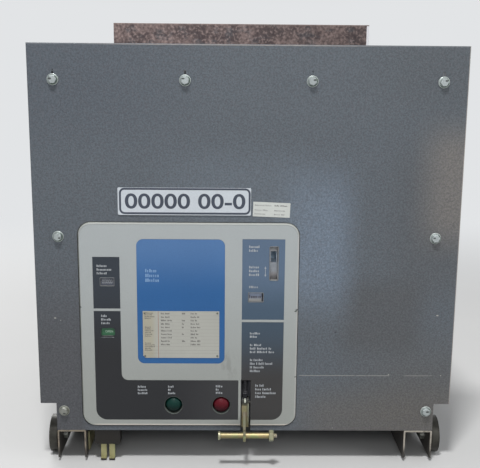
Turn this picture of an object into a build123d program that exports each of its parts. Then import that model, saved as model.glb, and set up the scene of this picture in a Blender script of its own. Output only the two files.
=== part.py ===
# Drawout vacuum circuit breaker of a substation's indoor switchgear, on a four-wheel truck.
# Millimetres. X points right and Y to the rear, seen from the operator's side, and Z points up.
# The origin is on the floor, at the centre of the whole outline.
import os

from build123d import *

os.makedirs("parts", exist_ok=True)

# Sheet steel and clearances
sheet = 3.0
bend = 2.2
seat_gap = 0.3
pin_gap = 0.08
slot_gap = 0.5

# Front panel, as wide as the truck and its wheels, and stepped in over them
truck_width = 682.0
panel_cover = 7.0
panel_top = 746.0
panel_shoulder = 112.5
panel_foot = 60.5
panel_fold = 12.0

# Panel bolts
bolt_dia = 6.5
bolt_head = 11.0
bolt_head_height = 5.0
washer_dia = 19.5
washer_thick = 1.6
bolt_upper_z = 686.4
bolt_middle_z = 419.3
bolt_lower_z = 98.4
bolt_inset = 13.8
bolt_inner_x = 106.6
bolt_slit = 3.0
bolt_slit_rise = 16.5

# Control bezel
bezel_width = 384.0
bezel_height = 374.5
bezel_x = -101.5
bezel_bottom = 70.0
bezel_radius = 23.0
bezel_proud = 2.5
bezel_back = 9.0
bezel_gap = 1.0
bezel_bevel = 3.0
bezel_bevel_depth = 2.0
legend_thick = 0.8
legend_sink = 1.0

# Printed legend panels in the bezel
legend_margin = 24.5
legend_foot = 12.0
legend_line = 4.5
legend_radius = 20.0
counter_panel_top = 383.8
counter_panel_bottom = 290.6
left_column_width = 47.0
arm_top = 157.7
arm_end_x = -13.5
arm_inner_radius = 12.0
right_column_x = -8.3
right_upper_top = 416.5
right_upper_bottom = 271.2

# Nameplate and rating plate
nameplate_width = 154.0
nameplate_height = 226.5
nameplate_x = -115.5
nameplate_bottom = 189.3
nameplate_radius = 12.0
rating_width = 135.0
rating_height = 86.3
rating_bottom = 200.0
rating_thick = 0.6
rating_corner = 4.0

# Windows, set in from the outer edge of their legend column
counter_inset = 24.7
counter_z = 339.0
counter_width = 23.5
counter_height = 14.0
contact_inset = 24.4
contact_z = 247.5
contact_width = 25.2
contact_height = 15.0
spring_inset = 50.1
spring_z = 312.0
spring_width = 25.7
spring_height = 16.0
flag_depth = 0.5

# Push buttons
button_dia = 31.0
button_gap = 1.0
button_z = 110.0
close_button_x = -130.0
open_button_x = -44.0
button_proud = 6.0
button_cap = 16.0
button_round = 2.0
button_travel = 6.0
button_stem_dia = 10.0
button_stem = 24.0

# Charging lever behind its slot
charge_inset = 19.0
charge_z = 373.3
charge_slot_width = 15.1
charge_slot_height = 60.6
charge_lever_width = 13.5
charge_radius = 70.0
charge_rim = 12.0
charge_front = 14.5
charge_spread_up = 58.0
charge_spread_down = 36.0
charge_socket_width = 9.0
charge_socket_height = 19.7
charge_socket_rise = 8.2
charge_socket_depth = 34.0
charge_side_gap = 5.0
charge_hub_dia = 28.0

# Latch handle in its slot
latch_slot_width = 18.0
latch_slot_top = 157.9
latch_x = -0.75
latch_stem_thick = 4.6
latch_channel_width = 12.5
latch_channel_wall = 2.5
latch_channel_front = 2.0
latch_channel_depth = 22.0
latch_channel_bottom = 66.0
latch_channel_top = 121.0
latch_crown = 7.7
latch_gusset_front = 30.0
latch_gusset_rear = 20.0
latch_pivot_depth = 14.0
latch_pivot_z = 109.0
handle_out = 25.0
handle_z = 62.0
handle_boss = 22.0
handle_tube_dia = 10.5
handle_tube_left = -44.9
handle_tube_right = 41.4
handle_bolt_dia = 8.2
handle_bolt_end = 55.9
handle_nut = 17.5
handle_nut_height = 8.8
handle_head = 15.4
handle_head_height = 4.5
pin_dia = 6.0

# Identification tag and sticker on the panel
tag_width = 228.7
tag_height = 47.4
tag_x = -108.6
tag_rise = 13.4
tag_thick = 1.5
tag_radius = 2.0
sticker_width = 63.8
sticker_height = 26.9
sticker_x = 41.9
sticker_rise = 10.1
sticker_thick = 0.4

# Truck frame
flange = 29.0
side_top_front = 715.0
side_top_rear = 640.0
side_level = 120.0
lifting_hole_dia = 38.0
lifting_front_depth = 70.0
lifting_front_z = 660.0
lifting_rear_depth = 265.0
lifting_rear_z = 600.0
rail_height = 44.0
rail_depth = 40.0
rail_lip = 20.0
pan_rear = 430.0
latch_well = 50.0
latch_well_depth = 60.0
channel_width = 51.5
channel_bottom = 7.0
channel_length = 600.0

# Wheels and axle studs
wheel_dia = 68.0
wheel_width = 14.0
wheel_gap = 5.0
wheel_hub_dia = 30.0
wheel_dish = 2.5
wheel_tread = 6.0
front_axle_depth = 48.5
rear_axle_depth = 520.0
axle_dia = 16.0
axle_thread_dia = 12.0
axle_collar_dia = 24.0
axle_flange = 2.5
axle_nut = 19.0
axle_nut_height = 8.0

# Floor interlock under the left of the front
interlock_inset = 89.6
interlock_pitch = 15.2
interlock_width = 10.2
interlock_thick = 5.0
interlock_depth = 7.0
interlock_foot_z = 2.0
interlock_foot = 6.0
guide_width = 46.0
guide_bottom = 31.6
guide_front = 4.0
guide_length = 26.0
bracket_front = 22.0
bracket_length = 68.0
bracket_low = 12.0
bracket_high = 48.0

# Mechanism housing
housing_left = -300.0
housing_right = 98.0
housing_top = 482.0

# Pole mounting plate and barriers
plate_front = 305.0
plate_thick = 6.0
plate_fold = 25.0
barrier_thick = 5.0
barrier_left = -264.0
barrier_right = 247.0
barrier_top = 792.0
barrier_lap = 80.0
barrier_rear = 640.0
barrier_wing_top = 765.0
barrier_wing_bottom = 150.0
barrier_flange = 25.0
barrier_chamfer = 60.0

# Poles
pole_count = 3
upper_z = 590.0
lower_z = 300.0
standoff_reach = 107.0
standoff_width = 62.0
standoff_height = 48.0
standoff_foot = 14.0
standoff_foot_width = 112.0
standoff_foot_height = 96.0
shed_count = 4
shed_pitch = 18.0
shed_thick = 6.0
shed_rim = 12.0
standoff_radius = 8.0
bottle_depth = 470.0
bottle_dia = 112.0
bottle_height = 200.0
bottle_cap_dia = 104.0
bottle_cap_height = 16.0
bottle_cap_bevel = 8.0
bottle_shield_dia = 118.0
bottle_shield_height = 34.0
stem_dia = 32.0
stab_width = 60.0
stab_thick = 30.0
stab_bar_end = 560.0
stab_stem_dia = 44.0
finger_seat_dia = 40.0
finger_seat_length = 30.0
collar_dia = 64.0
collar_height = 12.0

# Finger clusters
finger_count = 12
finger_arc = 23.0
finger_tip = 655.0
finger_length = 62.0
finger_bore = 38.0
finger_outer = 66.0
finger_nose = 8.0
finger_arch = 26.0
finger_flare = 5.0
finger_play = 0.2
spring_wire = 3.0

# Drive rods and cranks
rod_dia = 24.0
rod_shed_dia = 40.0
rod_top = 268.0
rod_bottom = 150.0
rod_shed_count = 4
crank_thick = 8.0
crank_height = 30.0
crank_z = 135.0
crank_head_dia = 34.0

# Rear underside
cross_height = 38.0
ground_x = 170.0
ground_width = 44.0
ground_length = 52.0
ground_bottom = 22.0
ground_finger = 8.0
secondary_inset = 106.0
secondary_width = 96.0
secondary_height = 46.0
secondary_length = 38.0
secondary_pin_dia = 6.0
secondary_pin = 14.0
secondary_pitch_x = 13.2
secondary_pitch_z = 15.6
levering_width = 70.0
levering_height = 64.0
levering_thick = 8.0
levering_bore = 21.0
levering_z = 34.0

# The front reach is the boss round the handle and the rear reach is the mouths of the finger clusters.
front_reach = handle_out + handle_boss / 2
face_y = (front_reach - finger_tip) / 2
half_truck = truck_width / 2
wheel_inner = half_truck + wheel_gap
wheel_outer = wheel_inner + wheel_width
panel_width = 2 * (wheel_outer + seat_gap + axle_flange + panel_cover)
bolt_outer_x = half_truck - bolt_inset
pan_top = panel_foot + sheet
secondary_x = secondary_inset - half_truck
plate_back = plate_front + plate_thick
bezel_top = bezel_bottom + bezel_height
bezel_z = (bezel_bottom + bezel_top) / 2
left_x = bezel_x - bezel_width / 2 + legend_margin
right_x = bezel_x + bezel_width / 2 - legend_margin
charge_x = right_x - charge_inset
windows = {
    "operations_counter": (left_x + counter_inset, counter_z, counter_width, counter_height),
    "contact_status_flag": (left_x + contact_inset, contact_z, contact_width, contact_height),
    "spring_status_flag": (right_x - spring_inset, spring_z, spring_width, spring_height),
}
pole_pitch = (barrier_right - barrier_left) / pole_count
pole_x = [barrier_left + pole_pitch * (i + 0.5) for i in range(pole_count)]


def behind(depth):
    """Y of a point at this depth behind the panel's front face."""
    return face_y + depth


def upright(depth):
    """Plane that faces the operator, at this depth behind the panel's front face."""
    return Plane.XZ.offset(-behind(depth))


def box_between(low, high):
    """A box from one corner to the other, with Y given as depth behind the panel's face."""
    size = [b - a for a, b in zip(low, high)]
    with Locations((low[0], behind(low[1]), low[2])):
        return Box(*size, align=(Align.MIN, Align.MIN, Align.MIN))


# Front panel: folded sheet, cut out for the bezel and drilled for its bolts, with a slit over the upper ones
upper_bolts = [(x, bolt_upper_z) for x in (-bolt_outer_x, -bolt_inner_x, bolt_inner_x, bolt_outer_x)]
plain_bolts = [(x, z) for x in (-bolt_outer_x, bolt_outer_x) for z in (bolt_middle_z, bolt_lower_z)]
with BuildPart() as front_panel:
    with BuildSketch(upright(0)):
        with BuildLine():
            Polyline(
                (0, panel_foot),
                (half_truck, panel_foot),
                (half_truck, panel_shoulder),
                (panel_width / 2, panel_shoulder),
                (panel_width / 2, panel_top),
                (0, panel_top),
            )
            mirror(about=Plane.YZ)
        make_face()
    extrude(amount=-sheet)
    with BuildSketch(upright(0)):
        with Locations((0, panel_top - sheet / 2)):
            Rectangle(panel_width, sheet)
        with Locations((0, (panel_top + panel_shoulder) / 2)):
            with GridLocations(panel_width - sheet, 0, 2, 1):
                Rectangle(sheet, panel_top - panel_shoulder)
    extrude(amount=-panel_fold)
    front_edges = front_panel.faces().sort_by(Axis.Y)[0].outer_wire().edges()
    fillet([e for e in front_edges if e.center().Z > panel_shoulder + sheet], radius=bend)
    with BuildSketch(upright(0)):
        with Locations((bezel_x, bezel_z)):
            RectangleRounded(
                bezel_width + 2 * bezel_gap, bezel_height + 2 * bezel_gap, bezel_radius + bezel_gap
            )
        with Locations((0, (panel_foot + bezel_bottom) / 2)):
            Rectangle(latch_slot_width, bezel_bottom - panel_foot + 2 * bezel_gap)
        with Locations(*[(x, z + bolt_slit_rise / 2) for x, z in upper_bolts]):
            Rectangle(bolt_slit, bolt_slit_rise)
        with Locations(*upper_bolts, *plain_bolts):
            Circle((bolt_dia + slot_gap) / 2)
    extrude(amount=-sheet, mode=Mode.SUBTRACT)
front_panel.part.label = "front_panel"
export_step(front_panel.part, "parts/front_panel.step")

# Panel bolts: washer and hexagon head in front, nut behind the truck's flange
with BuildPart() as panel_bolts:
    with BuildSketch(upright(-washer_thick)):
        with Locations(*upper_bolts, *plain_bolts):
            Circle(washer_dia / 2)
    extrude(amount=-washer_thick)
    with BuildSketch(upright(-washer_thick - bolt_head_height)):
        with Locations(*upper_bolts, *plain_bolts):
            RegularPolygon(bolt_head / 2, 6, major_radius=False)
    extrude(amount=-bolt_head_height)
    with BuildSketch(upright(0)):
        with Locations(*upper_bolts, *plain_bolts):
            Circle(bolt_dia / 2)
    extrude(amount=-(2 * sheet + bolt_head_height))
    with BuildSketch(upright(2 * sheet)):
        with Locations(*upper_bolts, *plain_bolts):
            RegularPolygon(bolt_head / 2, 6, major_radius=False)
    extrude(amount=-bolt_head_height)
panel_bolts.part.label = "panel_bolts"
export_step(panel_bolts.part, "parts/panel_bolts.step")

# Outlines of the four legend panels, used for their recesses and for the panels themselves
left_inner_x = left_x + left_column_width
legend_bottom = bezel_bottom + legend_foot
status_top = counter_panel_bottom - legend_line
right_lower_top = right_upper_bottom - legend_line
with BuildSketch() as legend_outline:
    with Locations(((left_x + left_inner_x) / 2, (counter_panel_top + counter_panel_bottom) / 2)):
        Rectangle(left_column_width, counter_panel_top - counter_panel_bottom)
    with Locations(((right_column_x + right_x) / 2, (right_upper_top + right_upper_bottom) / 2)):
        Rectangle(right_x - right_column_x, right_upper_top - right_upper_bottom)
    with BuildLine():
        FilletPolyline(
            (left_inner_x, status_top), (left_inner_x, arm_top), (arm_end_x, arm_top), radius=arm_inner_radius
        )
        FilletPolyline(
            (left_x, status_top), (left_x, legend_bottom), (arm_end_x, legend_bottom), radius=legend_radius
        )
        Line((left_x, status_top), (left_inner_x, status_top))
        Line((arm_end_x, legend_bottom), (arm_end_x, arm_top))
    make_face()
    with BuildLine():
        FilletPolyline(
            (right_column_x, legend_bottom),
            (right_x, legend_bottom),
            (right_x, right_lower_top),
            radius=legend_radius,
        )
        Line((right_x, right_lower_top), (right_column_x, right_lower_top))
        Line((right_column_x, right_lower_top), (right_column_x, legend_bottom))
    make_face()

with BuildSketch() as nameplate_outline:
    with Locations((nameplate_x, nameplate_bottom + nameplate_height / 2)):
        RectangleRounded(nameplate_width, nameplate_height, nameplate_radius)

# Windows, button holes, charging slot and latch slot, as cut in the bezel
with BuildSketch() as window_outline:
    for x, z, width, height in windows.values():
        with Locations((x, z)):
            Rectangle(width, height)
    with Locations((charge_x, charge_z)):
        Rectangle(charge_slot_width, charge_slot_height)
    with Locations((close_button_x, button_z), (open_button_x, button_z)):
        Circle(button_dia / 2 + button_gap)
    with Locations((0, (bezel_bottom + latch_slot_top) / 2)):
        Rectangle(latch_slot_width, latch_slot_top - bezel_bottom)

# Control bezel: moulded plate with bevelled rim, recesses for the legends, and its windows
with BuildPart() as control_bezel:
    with BuildSketch(upright(-bezel_proud)):
        with Locations((bezel_x, bezel_z)):
            RectangleRounded(bezel_width, bezel_height, bezel_radius)
    extrude(amount=-(bezel_proud + bezel_back))
    rim = control_bezel.faces().sort_by(Axis.Y)[0].outer_wire().edges()
    chamfer(rim, length=bezel_bevel, length2=bezel_bevel_depth)
    with BuildSketch(upright(-bezel_proud)):
        add(legend_outline.sketch)
        add(nameplate_outline.sketch)
    extrude(amount=-legend_sink, mode=Mode.SUBTRACT)
    with BuildSketch(upright(-bezel_proud)):
        add(window_outline.sketch)
    extrude(amount=-(bezel_proud + bezel_back), mode=Mode.SUBTRACT)
control_bezel.part.label = "control_bezel"
export_step(control_bezel.part, "parts/control_bezel.step")

# Legend panels: thin printed sheets on the floors of their recesses
legend_front = legend_sink - legend_thick - bezel_proud
with BuildPart() as legend_panels:
    with BuildSketch(upright(legend_front)):
        add(legend_outline.sketch)
        add(window_outline.sketch, mode=Mode.SUBTRACT)
    extrude(amount=-legend_thick)
legend_panels.part.label = "legend_panels"
export_step(legend_panels.part, "parts/legend_panels.step")

# Nameplate, with the rating plate on its lower half
with BuildPart() as nameplate:
    with BuildSketch(upright(legend_front)):
        add(nameplate_outline.sketch)
    extrude(amount=-legend_thick)
nameplate.part.label = "nameplate"
export_step(nameplate.part, "parts/nameplate.step")

with BuildPart() as rating_plate:
    with BuildSketch(upright(legend_front - rating_thick)) as rating_outline:
        with Locations((nameplate_x, rating_bottom + rating_height / 2)):
            Rectangle(rating_width, rating_height)
        lower_corners = rating_outline.vertices().group_by(Axis.Y)[0]
        chamfer(lower_corners.sort_by(Axis.X)[0], rating_corner)
    extrude(amount=-rating_thick)
rating_plate.part.label = "rating_plate"
export_step(rating_plate.part, "parts/rating_plate.step")

# What shows in the three windows stands on the housing's front and reaches into each window
for name, (x, z, width, height) in windows.items():
    with BuildPart() as indicator:
        with BuildSketch(upright(bezel_back)):
            with Locations((x, z)):
                Rectangle(width - 2 * seat_gap, height - 2 * seat_gap)
        extrude(amount=bezel_back - flag_depth)
    indicator.part.label = name
    export_step(indicator.part, f"parts/{name}.step")

# Push buttons: a wide cap with a rounded rim on a stem that slides in the housing
for name, x in (("close_button", close_button_x), ("open_button", open_button_x)):
    button_front = -bezel_proud - button_proud
    with BuildPart() as button:
        with BuildSketch(upright(button_front)):
            with Locations((x, button_z)):
                Circle(button_dia / 2)
        extrude(amount=-button_cap)
        fillet(button.faces().sort_by(Axis.Y)[0].edges(), radius=button_round)
        with BuildSketch(upright(button_front + button_cap)):
            with Locations((x, button_z)):
                Circle(button_stem_dia / 2)
        extrude(amount=-button_stem)
    button.part.label = name
    export_step(button.part, f"parts/{name}.step")

# Mechanism housing: closed box behind the bezel, with wells for the buttons, lever and latch
button_well = button_cap - bezel_proud - button_proud + button_travel + seat_gap
charge_pivot_depth = charge_front + charge_radius
charge_well_half = charge_radius + charge_side_gap
with BuildPart() as mechanism_housing:
    box_between((housing_left, bezel_back, pan_top), (housing_right, plate_front, housing_top))
    with BuildSketch(upright(bezel_back)):
        with Locations((close_button_x, button_z), (open_button_x, button_z)):
            Circle(button_dia / 2 + button_gap)
    extrude(amount=-button_well, mode=Mode.SUBTRACT)
    with BuildSketch(upright(bezel_back + button_well)):
        with Locations((close_button_x, button_z), (open_button_x, button_z)):
            Circle(button_stem_dia / 2 + seat_gap)
    extrude(amount=-(button_stem + button_travel), mode=Mode.SUBTRACT)
    with BuildSketch(upright(bezel_back)):
        with Locations((charge_x, charge_z)):
            Rectangle(charge_lever_width + 2 * charge_side_gap, 2 * charge_well_half)
    extrude(amount=-(charge_pivot_depth + charge_hub_dia - bezel_back), mode=Mode.SUBTRACT)
    with BuildSketch(upright(bezel_back)):
        with Locations((0, pan_top)):
            Rectangle(latch_well, 2 * (latch_slot_top + charge_side_gap - pan_top))
    extrude(amount=-(latch_well_depth - bezel_back), mode=Mode.SUBTRACT)
mechanism_housing.part.label = "mechanism_housing"
export_step(mechanism_housing.part, "parts/mechanism_housing.step")

# Charging lever: an arc of rim with the handle's socket in it, on a web and a hub
charge_rim_inner = charge_radius - charge_rim
charge_sweep = charge_spread_up + charge_spread_down
with BuildSketch() as lever_outline:
    Circle(charge_hub_dia / 2)
    with BuildLine():
        outer_arc = CenterArc((0, 0), charge_radius, 180 - charge_spread_up, charge_sweep)
        inner_arc = CenterArc((0, 0), charge_rim_inner, 180 - charge_spread_up, charge_sweep)
        Line(outer_arc @ 0, inner_arc @ 0)
        Line(outer_arc @ 1, inner_arc @ 1)
    make_face()
    with Locations((-charge_rim_inner / 2, charge_socket_rise)):
        Rectangle(charge_rim_inner, charge_socket_height + 2 * sheet)
    Circle(pin_dia / 2 + pin_gap, mode=Mode.SUBTRACT)
with BuildPart() as charge_lever:
    with BuildSketch(Plane.YZ.offset(charge_x - charge_lever_width / 2)):
        with Locations((behind(charge_pivot_depth), charge_z)):
            add(lever_outline.sketch)
    extrude(amount=charge_lever_width)
    with BuildSketch(upright(charge_front - sheet)):
        with Locations((charge_x, charge_z + charge_socket_rise)):
            Rectangle(charge_socket_width, charge_socket_height)
    extrude(amount=-(charge_socket_depth + sheet), mode=Mode.SUBTRACT)
charge_lever.part.label = "charge_lever"
export_step(charge_lever.part, "parts/charge_lever.step")

# Latch lever: folded channel on its pivot in the slot, with a stem plate on its left wall out to the handle
latch_left = latch_x - latch_channel_width / 2
with BuildPart() as latch_lever:
    with BuildSketch(Plane.YZ.offset(latch_left + latch_channel_wall)):
        with BuildLine():
            Polyline(
                (behind(latch_channel_front), latch_channel_bottom + latch_gusset_front),
                (behind(latch_channel_depth), latch_channel_bottom + latch_gusset_rear),
                (behind(latch_channel_depth), latch_channel_bottom),
                (behind(-handle_out), handle_z - handle_boss / 2),
                (behind(-handle_out) - handle_boss / 2, handle_z),
                (behind(-handle_out), handle_z + handle_boss / 2),
                close=True,
            )
        make_face()
        with Locations((behind(-handle_out), handle_z)):
            Circle(handle_boss / 2)
    extrude(amount=latch_stem_thick)
    channel_height = latch_channel_top - latch_channel_bottom
    with BuildSketch(Plane.YZ.offset(latch_left)):
        with BuildLine():
            Polyline(
                (behind(latch_channel_front), latch_channel_bottom),
                (behind(latch_channel_depth), latch_channel_bottom),
                (behind(latch_channel_depth), latch_channel_top),
                (behind(latch_channel_front), latch_channel_top),
                close=True,
            )
        make_face()
    extrude(amount=latch_channel_width)
    fillet(latch_lever.edges().filter_by(Axis.X).group_by(Axis.Z)[-1], radius=latch_crown)
    with BuildSketch(Plane.XY.offset(latch_channel_bottom)):
        with Locations((latch_x, behind(latch_channel_front + latch_channel_wall + latch_channel_depth / 2))):
            Rectangle(latch_channel_width - 2 * latch_channel_wall, latch_channel_depth)
    extrude(amount=channel_height, mode=Mode.SUBTRACT)
    with BuildSketch(Plane.YZ.offset(latch_left + latch_channel_wall)):
        with BuildLine():
            Polyline(
                (behind(latch_channel_front), latch_channel_bottom),
                (behind(latch_channel_depth), latch_channel_bottom),
                (behind(latch_channel_front), latch_channel_bottom + latch_gusset_front),
                close=True,
            )
        make_face()
    extrude(amount=latch_stem_thick)
    with BuildSketch(Plane.YZ.offset(latch_x - latch_channel_width)):
        with Locations((behind(latch_pivot_depth), latch_pivot_z)):
            Circle(pin_dia / 2 + pin_gap)
        with Locations((behind(-handle_out), handle_z)):
            Circle(handle_tube_dia / 2 + seat_gap)
    extrude(amount=2 * latch_channel_width, mode=Mode.SUBTRACT)
latch_lever.part.label = "latch_lever"
export_step(latch_lever.part, "parts/latch_lever.step")

# Handle: a tube through the stem, clamped between the bolt's head and its nut
handle_axis = Plane.YZ.offset(handle_tube_left)
with BuildPart() as handle_tube:
    with BuildSketch(handle_axis):
        with Locations((behind(-handle_out), handle_z)):
            Circle(handle_tube_dia / 2)
            Circle(handle_bolt_dia / 2 + pin_gap, mode=Mode.SUBTRACT)
    extrude(amount=handle_tube_right - handle_tube_left)
handle_tube.part.label = "handle_tube"
export_step(handle_tube.part, "parts/handle_tube.step")

with BuildPart() as handle_bolt:
    with BuildSketch(handle_axis.offset(-handle_head_height)):
        with Locations((behind(-handle_out), handle_z)):
            Circle(handle_head / 2)
    extrude(amount=handle_head_height)
    with BuildSketch(handle_axis):
        with Locations((behind(-handle_out), handle_z)):
            Circle(handle_bolt_dia / 2)
    extrude(amount=handle_bolt_end - handle_tube_left)
    with BuildSketch(Plane.YZ.offset(handle_tube_right)):
        with Locations((behind(-handle_out), handle_z)):
            RegularPolygon(handle_nut / 2, 6, major_radius=False)
    extrude(amount=handle_nut_height)
handle_bolt.part.label = "handle_bolt"
export_step(handle_bolt.part, "parts/handle_bolt.step")

# Pivot pins of the charging lever and the latch, held in the walls of their wells
with BuildPart() as mechanism_pins:
    charge_pin = charge_lever_width + 2 * charge_side_gap
    with BuildSketch(Plane.YZ.offset(charge_x - charge_pin / 2)):
        with Locations((behind(charge_pivot_depth), charge_z)):
            Circle(pin_dia / 2)
    extrude(amount=charge_pin)
    with BuildSketch(Plane.YZ.offset(-latch_well / 2)):
        with Locations((behind(latch_pivot_depth), latch_pivot_z)):
            Circle(pin_dia / 2)
    extrude(amount=latch_well)
mechanism_pins.part.label = "mechanism_pins"
export_step(mechanism_pins.part, "parts/mechanism_pins.step")

# Identification tag and inspection sticker on the panel's face
with BuildPart() as identification_tag:
    with BuildSketch(upright(-tag_thick)):
        with Locations((tag_x, bezel_top + tag_rise + tag_height / 2)):
            RectangleRounded(tag_width, tag_height, tag_radius)
    extrude(amount=-tag_thick)
identification_tag.part.label = "identification_tag"
export_step(identification_tag.part, "parts/identification_tag.step")

with BuildPart() as inspection_sticker:
    with BuildSketch(upright(-sticker_thick)):
        with Locations((sticker_x, bezel_top + sticker_rise + sticker_height / 2)):
            Rectangle(sticker_width, sticker_height)
    extrude(amount=-sticker_thick)
inspection_sticker.part.label = "inspection_sticker"
export_step(inspection_sticker.part, "parts/inspection_sticker.step")

# Side sheets: folded plates from the panel back to the pole plate, with lifting holes
for side, name in ((-1, "side_sheet_left"), (1, "side_sheet_right")):
    outer = side * half_truck
    inner = side * (half_truck - sheet)
    with BuildPart() as side_sheet:
        with BuildSketch(Plane.YZ.offset(min(outer, inner))):
            with BuildLine():
                Polyline(
                    (behind(sheet), pan_top),
                    (behind(plate_back), pan_top),
                    (behind(plate_back), side_top_rear),
                    (behind(side_level), side_top_front),
                    (behind(sheet), side_top_front),
                    close=True,
                )
            make_face()
            with Locations(
                (behind(lifting_front_depth), lifting_front_z), (behind(lifting_rear_depth), lifting_rear_z)
            ):
                Circle(lifting_hole_dia / 2, mode=Mode.SUBTRACT)
        extrude(amount=sheet)
        with BuildSketch(upright(sheet)):
            with Locations((side * (half_truck - flange / 2), (pan_top + side_top_front) / 2)):
                Rectangle(flange, side_top_front - pan_top)
            with Locations(*[(side * bolt_outer_x, z) for z in (bolt_upper_z, bolt_middle_z, bolt_lower_z)]):
                Circle((bolt_dia + slot_gap) / 2, mode=Mode.SUBTRACT)
        extrude(amount=-sheet)
    side_sheet.part.label = name
    export_step(side_sheet.part, f"parts/{name}.step")

# Top rail: folded channel between the side sheets' flanges, behind the panel's upper bolts
with BuildPart() as top_rail:
    rail_width = 2 * (half_truck - flange)
    with BuildSketch(Plane.YZ.offset(-rail_width / 2)):
        with BuildLine():
            Polyline(
                (behind(sheet), side_top_front - rail_height),
                (behind(2 * sheet), side_top_front - rail_height),
                (behind(2 * sheet), side_top_front - sheet),
                (behind(rail_depth - sheet), side_top_front - sheet),
                (behind(rail_depth - sheet), side_top_front - rail_lip),
                (behind(rail_depth), side_top_front - rail_lip),
                (behind(rail_depth), side_top_front),
                (behind(sheet), side_top_front),
                close=True,
            )
        make_face()
    extrude(amount=rail_width)
    with BuildSketch(upright(sheet)):
        with Locations((-bolt_inner_x, bolt_upper_z), (bolt_inner_x, bolt_upper_z)):
            Circle((bolt_dia + slot_gap) / 2)
    extrude(amount=-sheet, mode=Mode.SUBTRACT)
top_rail.part.label = "top_rail"
export_step(top_rail.part, "parts/top_rail.step")

# Base pan: floor sheet on the wheel channels, notched under the latch
with BuildPart() as base_pan:
    box_between((-half_truck, sheet, panel_foot), (half_truck, pan_rear, pan_top))
    with BuildSketch(Plane.XY.offset(panel_foot)):
        with Locations((0, behind(sheet + latch_well_depth / 2))):
            Rectangle(latch_well, latch_well_depth)
    extrude(amount=sheet, mode=Mode.SUBTRACT)
base_pan.part.label = "base_pan"
export_step(base_pan.part, "parts/base_pan.step")

# Wheel channels: inverted channels along both sides, drilled for the axle studs
wheel_radius = wheel_dia / 2
for side, name in ((-1, "wheel_channel_left"), (1, "wheel_channel_right")):
    middle = side * (half_truck - channel_width / 2)
    with BuildPart() as wheel_channel:
        with BuildSketch(upright(0)):
            with Locations((middle, (panel_foot + channel_bottom) / 2)):
                Rectangle(channel_width, panel_foot - channel_bottom)
        extrude(amount=-channel_length)
        fillet(wheel_channel.edges().filter_by(Axis.Y).group_by(Axis.Z)[-1], radius=bend)
        with BuildSketch(upright(0)):
            with Locations((middle, (panel_foot - sheet + channel_bottom) / 2)):
                Rectangle(channel_width - 2 * sheet, panel_foot - sheet - channel_bottom)
        extrude(amount=-channel_length, mode=Mode.SUBTRACT)
        with BuildSketch(Plane.YZ.offset(side * half_truck)):
            with Locations(
                (behind(front_axle_depth), wheel_radius), (behind(rear_axle_depth), wheel_radius)
            ):
                Circle(axle_thread_dia / 2 + seat_gap)
        extrude(amount=-side * sheet, mode=Mode.SUBTRACT)
    wheel_channel.part.label = name
    export_step(wheel_channel.part, f"parts/{name}.step")

# Rear cross member: angle between the channels' inner legs
with BuildPart() as rear_cross_member:
    cross_half = half_truck - channel_width
    for low_depth, low_z in ((sheet, cross_height), (cross_height, sheet)):
        box_between(
            (-cross_half, channel_length - low_depth, panel_foot - low_z),
            (cross_half, channel_length, panel_foot),
        )
rear_cross_member.part.label = "rear_cross_member"
export_step(rear_cross_member.part, "parts/rear_cross_member.step")

# Wheels: plain rollers with a dished face and a hub, outside the channels
for side, side_name in ((-1, "left"), (1, "right")):
    for depth, end_name in ((front_axle_depth, "front"), (rear_axle_depth, "rear")):
        name = f"wheel_{end_name}_{side_name}"
        with BuildPart() as wheel:
            with BuildSketch(Plane.YZ.offset(side * wheel_inner)):
                with Locations((behind(depth), wheel_radius)):
                    Circle(wheel_radius)
                    Circle(axle_dia / 2 + pin_gap, mode=Mode.SUBTRACT)
            extrude(amount=side * wheel_width)
            with BuildSketch(Plane.YZ.offset(side * wheel_outer)):
                with Locations((behind(depth), wheel_radius)):
                    Circle(wheel_radius - wheel_tread)
                    Circle(wheel_hub_dia / 2, mode=Mode.SUBTRACT)
            extrude(amount=-side * wheel_dish, mode=Mode.SUBTRACT)
        wheel.part.label = name
        export_step(wheel.part, f"parts/{name}.step")

# Axle studs: shouldered studs bolted through the channels' outer legs
with BuildPart() as axle_studs:
    stations = [(behind(depth), wheel_radius) for depth in (front_axle_depth, rear_axle_depth)]
    for side in (-1, 1):
        for start, end, size in (
            (half_truck - sheet, half_truck, axle_thread_dia),
            (half_truck, wheel_inner - seat_gap, axle_collar_dia),
            (wheel_inner - seat_gap, wheel_outer + seat_gap, axle_dia),
            (wheel_outer + seat_gap, wheel_outer + seat_gap + axle_flange, axle_collar_dia),
        ):
            with BuildSketch(Plane.YZ.offset(side * start)):
                with Locations(*stations):
                    Circle(size / 2)
            extrude(amount=side * (end - start))
        with BuildSketch(Plane.YZ.offset(side * (half_truck - sheet))):
            with Locations(*stations):
                RegularPolygon(axle_nut / 2, 6, major_radius=False)
        extrude(amount=-side * axle_nut_height)
axle_studs.part.label = "axle_studs"
export_step(axle_studs.part, "parts/axle_studs.step")

# Floor interlock: guide under the pan, two levers with hooked feet, and the bracket beside them
interlock_x = interlock_inset - half_truck
lever_x = [interlock_x - interlock_pitch / 2, interlock_x + interlock_pitch / 2]
with BuildPart() as interlock_guide:
    box_between(
        (interlock_x - guide_width / 2, guide_front, guide_bottom),
        (interlock_x + guide_width / 2, guide_front + guide_length, panel_foot),
    )
    with BuildSketch(Plane.XY.offset(guide_bottom)):
        with Locations(*[(x, behind(interlock_depth + interlock_thick / 2)) for x in lever_x]):
            Rectangle(interlock_width + 2 * seat_gap, interlock_thick + 2 * seat_gap)
    extrude(amount=panel_foot - guide_bottom, mode=Mode.SUBTRACT)
interlock_guide.part.label = "interlock_guide"
export_step(interlock_guide.part, "parts/interlock_guide.step")

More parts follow.
